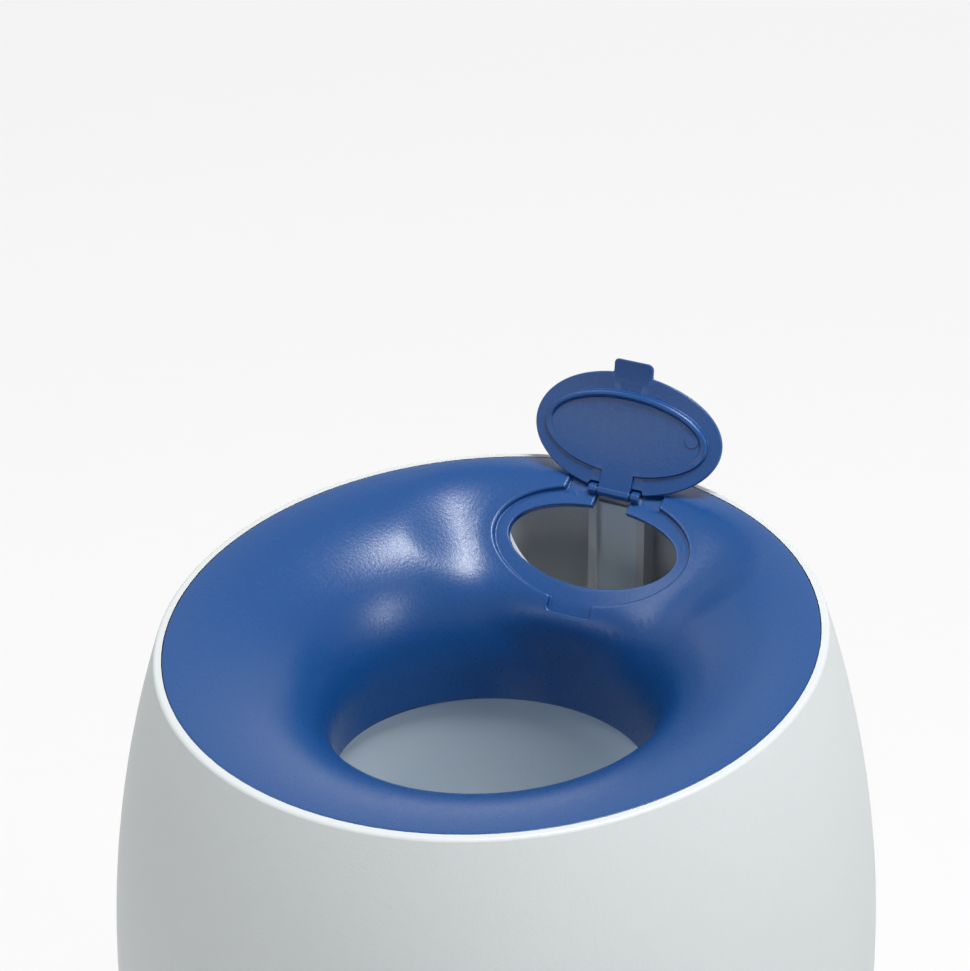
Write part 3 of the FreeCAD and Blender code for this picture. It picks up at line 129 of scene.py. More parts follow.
def scuffs():
    """Short fine scratches in two directions, as a mask."""
    group = bpy.data.node_groups.new("scuffs", "ShaderNodeTree")
    for name, value in (("Scale", 60.0), ("Amount", 0.3)):
        socket = group.interface.new_socket(name=name, in_out="INPUT", socket_type="NodeSocketFloat")
        socket.default_value = value
    group.interface.new_socket(name="Mask", in_out="OUTPUT", socket_type="NodeSocketFloat")
    tree = group.nodes
    link = group.links.new
    given = tree.new("NodeGroupInput")
    result = tree.new("NodeGroupOutput")
    place = tree.new("ShaderNodeTexCoord")
    strokes = []
    for turn in ((0.4, 0.2, 0.7), (1.3, 0.8, -0.6)):
        lie = tree.new("ShaderNodeMapping")
        lie.inputs["Rotation"].default_value = turn
        lie.inputs["Scale"].default_value = (1.0, 14.0, 1.0)
        link(place.outputs["Object"], lie.inputs["Vector"])
        noise = tree.new("ShaderNodeTexNoise")
        noise.inputs["Detail"].default_value = 4.0
        noise.inputs["Roughness"].default_value = 0.7
        link(lie.outputs["Vector"], noise.inputs["Vector"])
        link(given.outputs["Scale"], noise.inputs["Scale"])
        thin = tree.new("ShaderNodeMapRange")
        thin.inputs["From Min"].default_value = 0.64
        thin.inputs["From Max"].default_value = 0.70
        link(noise.outputs["Fac"], thin.inputs["Value"])
        strokes.append(thin)
    either = tree.new("ShaderNodeMath")
    either.operation = "MAXIMUM"
    link(strokes[0].outputs["Result"], either.inputs[0])
    link(strokes[1].outputs["Result"], either.inputs[1])
    faint = tree.new("ShaderNodeMath")
    faint.operation = "MULTIPLY"
    link(either.outputs[0], faint.inputs[0])
    link(given.outputs["Amount"], faint.inputs[1])
    link(faint.outputs[0], result.inputs["Mask"])
    return group


MOULDED = moulded_surface()
SCUFFS = scuffs()


def moulded_finish(name, colour, deep, dust, roughness, grain, bump, flow, settled, scratches):
    """The finish of a moulding: its colour and deeper shade, the dust on it, its gloss and its grain."""
    material = bpy.data.materials.new(name)
    material.use_nodes = True
    tree = material.node_tree.nodes
    link = material.node_tree.links.new
    shader = tree["Principled BSDF"]
    shader.inputs["IOR"].default_value = 1.49

    surface = tree.new("ShaderNodeGroup")
    surface.node_tree = MOULDED
    surface.inputs["Grain size"].default_value = grain
    surface.inputs["Flow"].default_value = flow
    surface.inputs["Dust"].default_value = settled
    marks = tree.new("ShaderNodeGroup")
    marks.node_tree = SCUFFS
    marks.inputs["Scale"].default_value = 70.0
    marks.inputs["Amount"].default_value = scratches

    tone = tree.new("ShaderNodeMix")
    tone.data_type = "RGBA"
    tone.inputs["A"].default_value = (*colour, 1.0)
    tone.inputs["B"].default_value = (*deep, 1.0)
    link(surface.outputs["Flow mask"], tone.inputs["Factor"])
    dusty = tree.new("ShaderNodeMix")
    dusty.data_type = "RGBA"
    dusty.inputs["B"].default_value = (*dust, 1.0)
    link(tone.outputs["Result"], dusty.inputs["A"])
    link(surface.outputs["Dust mask"], dusty.inputs["Factor"])
    scratched = tree.new("ShaderNodeMix")
    scratched.data_type = "RGBA"
    scratched.inputs["B"].default_value = (*dust, 1.0)
    link(dusty.outputs["Result"], scratched.inputs["A"])
    link(marks.outputs["Mask"], scratched.inputs["Factor"])
    link(scratched.outputs["Result"], shader.inputs["Base Color"])

    gloss = tree.new("ShaderNodeMapRange")
    gloss.inputs["To Min"].default_value = roughness - 0.05
    gloss.inputs["To Max"].default_value = roughness + 0.10
    link(surface.outputs["Height"], gloss.inputs["Value"])
    duller = tree.new("ShaderNodeMath")
    duller.operation = "ADD"
    duller.use_clamp = True
    link(gloss.outputs["Result"], duller.inputs[0])
    link(surface.outputs["Dust mask"], duller.inputs[1])
    link(duller.outputs[0], shader.inputs["Roughness"])

    relief = tree.new("ShaderNodeBump")
    relief.inputs["Strength"].default_value = bump
    relief.inputs["Distance"].default_value = 0.0002
    link(surface.outputs["Height"], relief.inputs["Height"])
    link(relief.outputs["Normal"], shader.inputs["Normal"])
    return material


def dress(name, material, edge):
    """Give a piece of the frame its material, smooth shading and broken edges."""
    piece = nodes[name]
    piece.data.materials.clear()
    piece.data.materials.append(material)
    for polygon in piece.data.polygons:
        polygon.use_smooth = True
    bevel = piece.modifiers.new("broken edge", "BEVEL")
    bevel.width = edge
    bevel.segments = 2
    bevel.limit_method = "ANGLE"
    bevel.angle_limit = math.radians(32)
    bevel.harden_normals = True
    bevel.use_clamp_overlap = True


base_plastic = moulded_finish(
    "base_plastic",
    colour=(0.50, 0.54, 0.57),
    deep=(0.44, 0.48, 0.51),
    dust=(0.60, 0.59, 0.56),
    roughness=0.52,
    grain=1500.0,
    bump=0.25,
    flow=0.5,
    settled=0.35,
    scratches=0.18,
)
dress("base_plate", base_plastic, edge=0.0003)

# Feet: four black rubber pads that keep the toy from sliding when it is nudged.
# Each is moulded with a stem, which is pressed through a hole in the base plate.

foot_rubber = moulded_finish(
    "foot_rubber",
    colour=(0.030, 0.030, 0.032),
    deep=(0.020, 0.020, 0.022),
    dust=(0.20, 0.19, 0.18),
    roughness=0.82,
    grain=900.0,
    bump=0.5,
    flow=0.6,
    settled=0.5,
    scratches=0.12,
)
for corner in ("front_left", "front_right", "rear_left", "rear_right"):
    dress("foot_" + corner, foot_rubber, edge=0.0002)

# Ball slide: a pale moulding under the throat, with a collar round it and an upright back that
# sweeps into the slope down which the ball rolls out. Four screws hold it to the base plate.

slide_plastic = moulded_finish(
    "slide_plastic",
    # Pale grey plastic: the blue cast in these colours is painted reflection of the blue ring's light,
    # and the portion gate shares it.
    colour=(0.65, 0.745, 0.82),
    deep=(0.61, 0.705, 0.78),
    dust=(0.60, 0.62, 0.64),
    roughness=0.40,
    grain=1700.0,
    bump=0.18,
    flow=0.5,
    settled=0.25,
    scratches=0.22,
)
dress("ball_ramp", slide_plastic, edge=0.0003)

# Trigger lever: a treadle in the slide's floor, its hub and the arm behind it in one off-white
# moulding. The ball rolls over the treadle, and the lever turns on a plated steel shaft.

works_plastic = moulded_finish(
    "works_plastic",
    colour=(0.60, 0.60, 0.58),
    deep=(0.54, 0.54, 0.52),
    dust=(0.45, 0.44, 0.42),
    roughness=0.45,
    grain=1600.0,
    bump=0.2,
    flow=0.5,
    settled=0.3,
    scratches=0.15,
)
dress("trigger_lever", works_plastic, edge=0.0003)


def drawn_steel():
    """Zinc-plated drawn wire: fine lines along it, a little yellow in the grey."""
    material = bpy.data.materials.new("drawn_steel")
    material.use_nodes = True
    tree = material.node_tree.nodes
    link = material.node_tree.links.new
    shader = tree["Principled BSDF"]
    shader.inputs["Metallic"].default_value = 1.0
    place = tree.new("ShaderNodeTexCoord")
    lie = tree.new("ShaderNodeMapping")
    lie.inputs["Scale"].default_value = (60.0, 2400.0, 2400.0)
    link(place.outputs["Object"], lie.inputs["Vector"])
    lines = tree.new("ShaderNodeTexNoise")
    lines.inputs["Scale"].default_value = 1.0
    lines.inputs["Detail"].default_value = 4.0
    link(lie.outputs["Vector"], lines.inputs["Vector"])
    tint = tree.new("ShaderNodeValToRGB")
    tint.color_ramp.elements[0].color = (0.42, 0.42, 0.41, 1.0)
    tint.color_ramp.elements[1].color = (0.62, 0.61, 0.57, 1.0)
    link(lines.outputs["Fac"], tint.inputs["Fac"])
    link(tint.outputs["Color"], shader.inputs["Base Color"])
    gloss = tree.new("ShaderNodeMapRange")
    gloss.inputs["To Min"].default_value = 0.22
    gloss.inputs["To Max"].default_value = 0.42
    link(lines.outputs["Fac"], gloss.inputs["Value"])
    link(gloss.outputs["Result"], shader.inputs["Roughness"])
    relief = tree.new("ShaderNodeBump")
    relief.inputs["Strength"].default_value = 0.3
    relief.inputs["Distance"].default_value = 0.00005
    link(lines.outputs["Fac"], relief.inputs["Height"])
    link(relief.outputs["Normal"], shader.inputs["Normal"])
    return material


steel = drawn_steel()
dress("trigger_shaft", steel, edge=0.0003)

# Push rod and return spring: the lever's arm lifts the off-white rod, whose moulded rack turns the
# drum's pinion, and a spring of plated wire brings it down again.

dress("push_rod", works_plastic, edge=0.0002)

SPRING_WIRE = 0.0004
SPRING_TURNS = 8
STEPS_A_TURN = 24
WIRE_SIDES = 10
LEAST_CLIMB = 0.12


def spring_mesh(low, high):
    """Round wire wound between two heights, with its first and last turns laid close."""
    mesh = bmesh.new()
    middle = (low + high) / 2
    coil = (high.x - low.x) / 2 - SPRING_WIRE
    steps = SPRING_TURNS * STEPS_A_TURN
    climb = [min(1.0, min(step, steps - step) / STEPS_A_TURN) + LEAST_CLIMB for step in range(steps + 1)]
    total = sum(climb[1:])
    rise = high.z - low.z - 2 * SPRING_WIRE
    height = low.z + SPRING_WIRE
    loops = []
    for step in range(steps + 1):
        height += rise * climb[step] / total if step else 0.0
        turn = 2 * math.pi * step / STEPS_A_TURN
        loop = []
        for side in range(WIRE_SIDES):
            lean = 2 * math.pi * side / WIRE_SIDES
            reach = coil + SPRING_WIRE * math.cos(lean)
            x = middle.x + reach * math.cos(turn)
            y = middle.y + reach * math.sin(turn)
            loop.append(mesh.verts.new((x, y, height + SPRING_WIRE * math.sin(lean))))
        loops.append(loop)
    for here, there in zip(loops, loops[1:]):
        for side in range(WIRE_SIDES):
            after = (side + 1) % WIRE_SIDES
            mesh.faces.new((here[side], here[after], there[after], there[side]))
    mesh.faces.new(reversed(loops[0]))
    mesh.faces.new(loops[-1])
    return mesh


def new_piece(name, mesh, body, node, material):
    """Make a finished piece of a mesh: it rides on a body and stands for a node of the frame."""
    bmesh.ops.recalc_face_normals(mesh, faces=mesh.faces)
    data = bpy.data.meshes.new(name)
    mesh.to_mesh(data)
    mesh.free()
    data.polygons.foreach_set("use_smooth", [True] * len(data.polygons))
    data.set_sharp_from_angle(angle=math.radians(40))
    data.materials.append(material)
    piece = bpy.data.objects.new(name, data)
    bpy.context.scene.collection.objects.link(piece)
    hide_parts(node)
    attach(piece, body)
    return piece


spring_low, spring_high = (Vector(corner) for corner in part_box("return_spring"))
wire = spring_mesh(spring_low, spring_high)
spring = new_piece("wound_spring", wire, "housing", "return_spring", steel)
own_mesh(spring)

# Dosing drum: turned by its pinion, it carries one pocket of treats from the hopper to the spout.
# Drum, pinion and case are off-white mouldings, on a steel shaft held by two retaining clips.

dress("drum_housing", works_plastic, edge=0.0003)
dress("dosing_drum", works_plastic, edge=0.0003)
dress("drum_pinion", works_plastic, edge=0.0001)
dress("drum_shaft", steel, edge=0.0002)
dress("shaft_clips", steel, edge=0.0001)

# Treat hopper: a grey oval tube under the hatch that narrows to the drum, with a ribbed pier at its
# back wall. One moulding, screwed to the ears of the drum's case.

hopper_plastic = moulded_finish(
    "hopper_plastic",
    colour=(0.60, 0.62, 0.64),
    deep=(0.54, 0.56, 0.58),
    dust=(0.30, 0.31, 0.32),
    roughness=0.42,
    grain=1500.0,
    bump=0.2,
    flow=0.6,
    settled=0.3,
    scratches=0.25,
)
dress("treat_hopper", hopper_plastic, edge=0.0003)

# Portion gate: a pale plate that slides up and down in the pier behind two lips, with a wing
# inside the hopper that narrows the way to the drum. It is moulded in the slide's plastic.

dress("portion_gate", slide_plastic, edge=0.0003)

# Funnel ring: the blue trumpet that takes the ball down to its level throat, one glossy moulding.
# Its high side is flattened into a deck with a recess for the lid, the hatch itself and the hinge's
# slot and cheeks. A skirt centres it in the shell and four bosses take the screws from below.

ring_plastic = moulded_finish(
    "ring_plastic",
    colour=(0.007, 0.070, 0.252),
    deep=(0.005, 0.060, 0.228),
    dust=(0.08, 0.15, 0.32),
    roughness=0.25,
    grain=950.0,
    bump=0.26,
    flow=0.5,
    settled=0.10,
    scratches=0.08,
)

RIM_HEIGHT = 0.228
RIM_SLANT = math.tan(math.radians(7))
BELLY_RADIUS = 0.1195
BELLY_HEIGHT = 0.116
UPPER_ARC = 0.360
SHELL_WALL = 0.0022
SEAM_GAP = 0.00015
RING_INSET = SHELL_WALL / math.cos(math.radians(18)) + SEAM_GAP
RING_WALL = 0.0024
RING_COLUMNS = 240
SAME_PLACE = 3e-6
RIM_ROUND = 0.0005
RIM_RUN = 0.048
THROAT_RADIUS = 0.049
THROAT_Y = -0.003
FLARE_DEPTH = 0.041
THROAT_TUBE = 0.012
END_TURN = math.pi / 2 + THROAT_TUBE / FLARE_DEPTH

HATCH_Y = 0.0636
HATCH_Z = 0.227
SLOPE_COS = math.cos(math.radians(38))
SLOPE_SIN = math.sin(math.radians(38))
DECK_NORMAL = np.array((0.0, -SLOPE_SIN, SLOPE_COS))
DECK_LEVEL = -0.001
DECK_BLEND = 1.9
FLATTENING = 0.6
RIM_FADE = math.radians(12)
PATCH_HALF = (0.039, 0.0295)
PATCH_MARGIN = 1.06
RECESS_HALF = (0.0336, 0.020)
RECESS_DEPTH = 0.0018
RECESS_EDGE = 0.0009
FOOT_ROUND = 0.0003
HOLE_HALF = (0.0293, 0.014)
SEAT_DEPTH = 0.0042
SEAT_MARGIN = 0.0026
NOTCH_HALF = 0.0074
NOTCH_REACH = 0.024
NOTCH_CORNER = 0.0012
INNER_CORNER = 0.0006
HATCH_CORNERS = (66.4, 74.8, 54.2, -72.9, -69.5)
OUTLINE_NEAREST = 0.001
OUTLINE_FARTHEST = 0.060

HINGE_V = 0.0196
HINGE_N = -0.0024
HEEL_HALF = 0.0165
HEEL_RADIUS = 0.0033
HEEL_REACH = HINGE_V + HEEL_RADIUS
HEEL_FLOOR = 0.0007
HEEL_CORNER = 0.0010
HEEL_EASE = 0.0005
SLOT_HALF = 0.006
SLOT_REACH = 0.0221
SLOT_CORNER = 0.0004
CHEEK_RADIUS = 0.0019
CHEEK_FOOT = 0.0028
CHEEK_INNER = 0.006
CHEEK_OUTER = 0.009
CHEEK_SOFT = 0.0004
PIN_HOLE = 0.00101

SKIRT_GAP = 0.0006
SKIRT_WALL = 0.0018
SKIRT_START = 0.0012
SKIRT_LENGTH = 0.012
SKIRT_TIP = 0.0005
BOSS_CIRCLE = 0.088
BOSS_RADIUS = 0.004
BOSS_LOW = 0.2032
BOSS_SINK = 0.0016
PILOT_RADIUS = 0.00155
PILOT_DEPTH = 0.0118
PILOT_ROOF = 0.001


def smooth_step(value):
    """Ease from 0 to 1."""
    value = np.clip(value, 0.0, 1.0)
    return value * value * (3 - 2 * value)


def rim_line(azimuth, inset):
    """Points of the slanted rim, moved in from the shell's outer face."""
    radius = np.full_like(azimuth, BELLY_RADIUS)
    for _ in range(12):
        z = RIM_HEIGHT + radius * np.sin(azimuth) * RIM_SLANT
        drop = UPPER_ARC - np.sqrt(UPPER_ARC**2 - (z - BELLY_HEIGHT) ** 2)
        radius = BELLY_RADIUS - drop - inset
    return np.stack((radius * np.cos(azimuth), radius * np.sin(azimuth), z), axis=-1)


def on_deck(points):
    """Coordinates on the hatch's deck: across, up the slope and out of the deck."""
    y = points[..., 1] - HATCH_Y
    z = points[..., 2] - HATCH_Z
    return points[..., 0], y * SLOPE_COS + z * SLOPE_SIN, z * SLOPE_COS - y * SLOPE_SIN


def from_deck(u, v, n):
    """Points of the scene from coordinates on the deck."""
    y = HATCH_Y + v * SLOPE_COS - n * SLOPE_SIN
    return np.stack((u, y, HATCH_Z + v * SLOPE_SIN + n * SLOPE_COS), axis=-1)


def trumpet(turn, azimuth):
    """The ring's visible face: turn is 0 at the rim, a quarter turn at the throat, more in its tube."""
    rim = rim_line(azimuth, RING_INSET)
    bend = np.minimum(turn, math.pi / 2)
    share = np.sin(bend)
    x = rim[..., 0] * (1 - share) + THROAT_RADIUS * np.cos(azimuth) * share
    y = rim[..., 1] * (1 - share) + (THROAT_Y + THROAT_RADIUS * np.sin(azimuth)) * share
    z = RIM_HEIGHT - FLARE_DEPTH * (1 - np.cos(bend)) + (rim[..., 2] - RIM_HEIGHT) * np.cos(bend)
    z = z - FLARE_DEPTH * (turn - bend)
    point = np.stack((x, y, z), axis=-1)
    u, v, n = on_deck(point)
    spread = np.hypot(u / RECESS_HALF[0], v / RECESS_HALF[1])
    blend = smooth_step((DECK_BLEND - spread) / (DECK_BLEND - 1)) * smooth_step(turn / RIM_FADE)
    return point + (FLATTENING * blend * (DECK_LEVEL - n))[..., None] * DECK_NORMAL


def trumpet_normal(turn, azimuth):
    """Directions straight out of the visible face."""
    step = 1e-4
    along = trumpet(turn + step, azimuth) - trumpet(turn - step, azimuth)
    across = trumpet(turn, azimuth + step) - trumpet(turn, azimuth - step)
    normal = np.cross(across, along)
    return normal / np.linalg.norm(normal, axis=-1, keepdims=True)


def find_on_trumpet(u, v):
    """The turn and azimuth at which the trumpet passes over a place of the deck."""
    turn = np.full_like(u, 0.5)
    azimuth = np.arctan2(HATCH_Y + v * SLOPE_COS, u)
    step = 1e-5
    for _ in range(12):
        here = np.stack(on_deck(trumpet(turn, azimuth))[:2])
        by_turn = (np.stack(on_deck(trumpet(turn + step, azimuth))[:2]) - here) / step
        by_azimuth = (np.stack(on_deck(trumpet(turn, azimuth + step))[:2]) - here) / step
        miss_u = u - here[0]
        miss_v = v - here[1]
        scale = by_turn[0] * by_azimuth[1] - by_turn[1] * by_azimuth[0]
        turn = turn + (miss_u * by_azimuth[1] - miss_v * by_azimuth[0]) / scale
        azimuth = azimuth + (miss_v * by_turn[0] - miss_u * by_turn[1]) / scale
    return turn, azimuth


def deck_height(u, v):
    """How far the visible face stands out of the deck's plane."""
    return on_deck(trumpet(*find_on_trumpet(u, v)))[2]


def under_deck(place, depth):
    """Points at a depth under the visible face."""
    u, v = place
    return from_deck(u, v, deck_height(u, v) - depth)


def oval_distance(u, v, half):
    """Distance outside an oval, close to exact near its edge."""
    near = np.hypot(u / half[0], v / half[1])
    return near * (near - 1) / np.hypot(u / half[0] ** 2, v / half[1] ** 2)


def box_distance(u, v, half, low, high, corner):
    """Distance outside a box with rounded corners, centred across the deck."""
    past_u = np.abs(u) - half + corner
    past_v = np.abs(v - (low + high) / 2) - (high - low) / 2 + corner
    outside = np.hypot(np.maximum(past_u, 0), np.maximum(past_v, 0))
    return outside + np.minimum(np.maximum(past_u, past_v), 0) - corner


def joined(first, second, blend):
    """Two outlines as one, with the inner corners between them rounded."""
    share = np.clip(0.5 + 0.5 * (second - first) / blend, 0, 1)
    return second * (1 - share) + first * share - blend * share * (1 - share)


def recess_outline(u, v):
    """The lid's oval, the notch for its tab and the pocket behind the hinge."""
    notch = box_distance(u, v, NOTCH_HALF, -NOTCH_REACH, 0.0, NOTCH_CORNER)
    pocket = box_distance(u, v, HEEL_HALF, 0.0, HEEL_REACH, HEEL_CORNER)
    outline = joined(oval_distance(u, v, RECESS_HALF), notch, INNER_CORNER)
    return joined(outline, pocket, INNER_CORNER)


def recess_floor(u, v):
    """Depth of the recess: even under the lid, with a level scoop for the open lid's heel."""
    share = smooth_step((v - HINGE_V + HEEL_RADIUS) / HEEL_EASE)
    share = share * smooth_step((HEEL_HALF + 2 * HEEL_EASE - np.abs(u)) / HEEL_EASE)
    scoop = deck_height(u, v) - HINGE_N + HEEL_FLOOR
    under_lid = smooth_step(-oval_distance(u, v, RECESS_HALF) / HEEL_EASE)
    scoop = np.maximum(scoop, RECESS_DEPTH * under_lid)
    return RECESS_DEPTH + (scoop - RECESS_DEPTH) * share


def hole_outline(u, v):
    """The hatch's hole, with the slot in which the lid's neck turns."""
    slot = box_distance(u, v, SLOT_HALF, 0.0, SLOT_REACH, SLOT_CORNER)
    return joined(oval_distance(u, v, HOLE_HALF), slot, FOOT_ROUND)


def outline_points(outline, offset, angles):
    """Where the rays from the hatch's middle leave an outline that is grown by offset."""
    low = np.full_like(angles, OUTLINE_NEAREST)
    high = np.full_like(angles, OUTLINE_FARTHEST)
    for _ in range(40):
        middle = (low + high) / 2
        inside = outline(middle * np.cos(angles), middle * np.sin(angles)) < offset
        low = np.where(inside, middle, low)
        high = np.where(inside, high, middle)
    return low * np.cos(angles), low * np.sin(angles)


def ray_angles(corners):
    """Angles round the hatch, close together near the corners of its outlines."""
    angles = list(np.radians(np.arange(0.0, 360.0, 1.0)))
    for degrees in corners:
        for place in (degrees, 180.0 - degrees):
            angles += list(np.radians(np.arange(place - 1.9, place + 2.0, 0.2)))
    angles = np.unique(np.round(np.mod(angles, 2 * math.pi), 5))
    return angles[np.append(True, np.diff(angles) > 1e-3)]


def rounding(radius, steps, start, sweep):
    """Offsets along and down a round."""
    turns = [math.radians(start + sweep * step / steps) for step in range(steps + 1)]
    return [(radius * math.cos(turn), radius * math.sin(turn)) for turn in turns]


def between(start, end, share):
    """Places part of the way from one outline to another."""
    return tuple(a * (1 - share) + b * share for a, b in zip(start, end))


def add_loops(mesh, loops, closed=False):
    """Skin a list of closed loops of as many points each."""
    rings = [[mesh.verts.new(point) for point in loop] for loop in loops]
    pairs = list(zip(rings, rings[1:]))
    if closed:
        pairs.append((rings[-1], rings[0]))
    for here, there in pairs:
        for index in range(len(here)):
            after = (index + 1) % len(here)
            mesh.faces.new((here[index], here[after], there[after], there[index]))
    return rings


def add_capped(mesh, loops):
    """Skin loops into a closed body with flat ends."""
    rings = add_loops(mesh, loops)
    mesh.faces.new(list(reversed(rings[0])))
    mesh.faces.new(rings[-1])


def add_trumpet(mesh, hatch_turn, hatch_azimuth):
    """The trumpet's two faces from the rim to the throat's end, open where the hatch's patch goes."""
    # Metres to a radian of azimuth and of turn, which keep the triangles even.
    scale = (0.075, 0.05)
    turns = [0.0, 0.0008, 0.0031, 0.0062, 0.0104, 0.03]
    turns += list(np.linspace(0.06, math.pi / 2, 30))
    turns += list(np.linspace(math.pi / 2, END_TURN - 0.03, 4)[1:])
    turns += [END_TURN - share * RING_WALL / 2 / FLARE_DEPTH for share in (1.0, 0.7, 0.4, 0.2, 0.06, 0.0)]
    columns = [2 * math.pi * column / RING_COLUMNS - math.pi / 2 for column in range(RING_COLUMNS + 1)]
    grid = np.array([(azimuth, turn) for turn in turns for azimuth in columns]) * scale
    patch = np.stack((hatch_azimuth, hatch_turn), axis=-1) * scale
    centre = patch.mean(axis=0)
    reach = np.hypot(*(patch - centre).T)
    bearing = np.arctan2(*(patch - centre).T)
    order = np.argsort(bearing)

    def past_patch(points):
        """How far points lie outside the patch, as a share."""
        away = points - centre
        limit = np.interp(np.arctan2(*away.T), bearing[order], reach[order], period=2 * math.pi)
        return np.hypot(*away.T) / limit

    kept = grid[past_patch(grid) > PATCH_MARGIN]
    corners = [Vector(place) for place in np.concatenate((kept, patch))]
    first = len(kept)
    count = len(patch)
    border = [(first + i, first + (i + 1) % count) for i in range(count)]
    places, _, faces, *_ = delaunay_2d_cdt(corners, border, [], 0, 1e-7)
    flat = np.array([tuple(place) for place in places])
    azimuth = flat[:, 0] / scale[0]
    turn = flat[:, 1] / scale[1]
    from_rim = np.clip(turn * RIM_RUN, 0.0, RIM_ROUND)
    rim_drop = RIM_ROUND - np.sqrt(RIM_ROUND**2 - (RIM_ROUND - from_rim) ** 2)
    half = RING_WALL / 2
    from_end = np.clip((END_TURN - turn) * FLARE_DEPTH, 0.0, half)
    end_drop = half - np.sqrt(half**2 - (half - from_end) ** 2)
    face = trumpet(turn, azimuth)
    normal = trumpet_normal(turn, azimuth)
    front = [mesh.verts.new(point) for point in face - normal * (rim_drop + end_drop)[:, None]]
    back = [mesh.verts.new(point) for point in face - normal * (RING_WALL - end_drop)[:, None]]
    middles = np.array([flat[list(three)].mean(axis=0) for three in faces])
    for three, outside in zip(faces, past_patch(middles)):
        if outside > 1.0:
            mesh.faces.new([front[i] for i in three])
            mesh.faces.new([back[i] for i in reversed(three)])


def add_hatch(mesh, angles, patch, hatch_turn, hatch_azimuth):
    """The deck round the recess, the recess, the hole's wall and the seat under it, to the back face."""

    def recess(offset):
        return outline_points(recess_outline, offset, angles)

    def hole(offset):
        return outline_points(hole_outline, offset, angles)

    lip = recess(RECESS_EDGE)
    wall_foot = recess(-FOOT_ROUND)
    brink = hole(FOOT_ROUND)
    seat = recess(SEAT_MARGIN)
    loops = [trumpet(hatch_turn, hatch_azimuth)]
    loops += [under_deck(between(patch, lip, share), 0.0) for share in (0.25, 0.5, 0.75, 0.92, 1.0)]
    for along, down in rounding(RECESS_EDGE, 5, 90, -90)[1:]:
        loops.append(under_deck(recess(RECESS_EDGE - along), RECESS_EDGE - down))
    for along, down in rounding(FOOT_ROUND, 3, 0, 90):
        place = recess(along - FOOT_ROUND)
        loops.append(under_deck(place, recess_floor(*place) - FOOT_ROUND + down))
    for share in (0.08, 0.16, 0.25, 0.35, 0.45, 0.55, 0.7, 0.85, 1.0):
        place = between(wall_foot, brink, share)
        loops.append(under_deck(place, recess_floor(*place)))
    for along, down in rounding(FOOT_ROUND, 3, 90, -90)[1:]:
        place = hole(FOOT_ROUND - along)
        loops.append(under_deck(place, recess_floor(*place) + FOOT_ROUND - down))
    loops.append(under_deck(hole(0.0), SEAT_DEPTH - FOOT_ROUND))
    loops.append(under_deck(brink, SEAT_DEPTH))
    loops += [under_deck(between(brink, seat, share), SEAT_DEPTH) for share in (0.35, 0.7, 1.0)]
    for turn, azimuth in (find_on_trumpet(*seat), (hatch_turn, hatch_azimuth)):
        loops.append(trumpet(turn, azimuth) - trumpet_normal(turn, azimuth) * RING_WALL)
    add_loops(mesh, loops)


def round_loop(radius, place, height, count=24):
    """A level circle."""
    turns = [2 * math.pi * step / count for step in range(count)]
    return [(place[0] + radius * math.cos(t), place[1] + radius * math.sin(t), height) for t in turns]


def deck_surface_z(radius, bearing):
    """Height of the visible face above a place, by its distance and bearing from the middle."""
    low = 0.0
    high = math.pi / 2
    for _ in range(30):
        turn = (low + high) / 2
        point = trumpet(np.array([turn]), np.array([bearing]))[0]
        if math.hypot(point[0], point[1]) > radius:
            low = turn
        else:
            high = turn
    return point[2]


def hinge_loop(radius, across, count=20):
    """A circle round the hinge's axis, at a distance across the deck."""
    turns = np.array([2 * math.pi * step / count for step in range(count)])
    v = HINGE_V + radius * np.cos(turns)
    return from_deck(np.full_like(v, across), v, HINGE_N + radius * np.sin(turns))


def cheek_profile(across, inset, count=20):
    """A cheek's outline: round over the pin, straight down to the recess's floor."""
    turns = np.array([2 * math.pi * step / count for step in range(count)])
    radius = CHEEK_RADIUS - inset
    side = np.cos(turns)
    v = HINGE_V + radius * side
    n = HINGE_N + radius * np.sin(turns)
    below = n < HINGE_N - 1e-6
    straight = HINGE_V + radius * np.sign(side) * np.minimum(1, 2 * np.abs(side))
    v = np.where(below, straight, v)
    n = np.where(below, HINGE_N - CHEEK_FOOT * np.minimum(1, 1.4 * np.abs(np.sin(turns))), n)
    return from_deck(np.full_like(v, across), v, n)


def add_skirt(mesh):
    """The wall under the rim that centres the ring in the shell."""
    around = np.linspace(0, 2 * math.pi, 180, endpoint=False)
    upward = np.array((0.0, 0.0, 1.0))
    outer = RING_INSET + SKIRT_GAP
    inner = outer + SKIRT_WALL
    section = (
        (outer, SKIRT_START),
        (outer, SKIRT_LENGTH - SKIRT_TIP),
        (outer + SKIRT_TIP, SKIRT_LENGTH),
        (inner - SKIRT_TIP, SKIRT_LENGTH),
        (inner, SKIRT_LENGTH - SKIRT_TIP),
        (inner, SKIRT_START),
    )
    add_loops(mesh, [rim_line(around, inset) - upward * depth for inset, depth in section], closed=True)


def add_bosses(mesh):
    """Four pillars under the trumpet, each with a blind hole for its screw."""
    for degrees in (45, 135, -135, -45):
        bearing = math.radians(degrees)
        place = (BOSS_CIRCLE * math.cos(bearing), BOSS_CIRCLE * math.sin(bearing))
        top = deck_surface_z(BOSS_CIRCLE, bearing) - BOSS_SINK
        hole_end = min(BOSS_LOW + PILOT_DEPTH, top - PILOT_ROOF)
        loops = [
            round_loop(BOSS_RADIUS, place, top),
            round_loop(BOSS_RADIUS, place, BOSS_LOW),
            round_loop(PILOT_RADIUS, place, BOSS_LOW),
            round_loop(PILOT_RADIUS, place, hole_end),
        ]
        add_capped(mesh, loops)


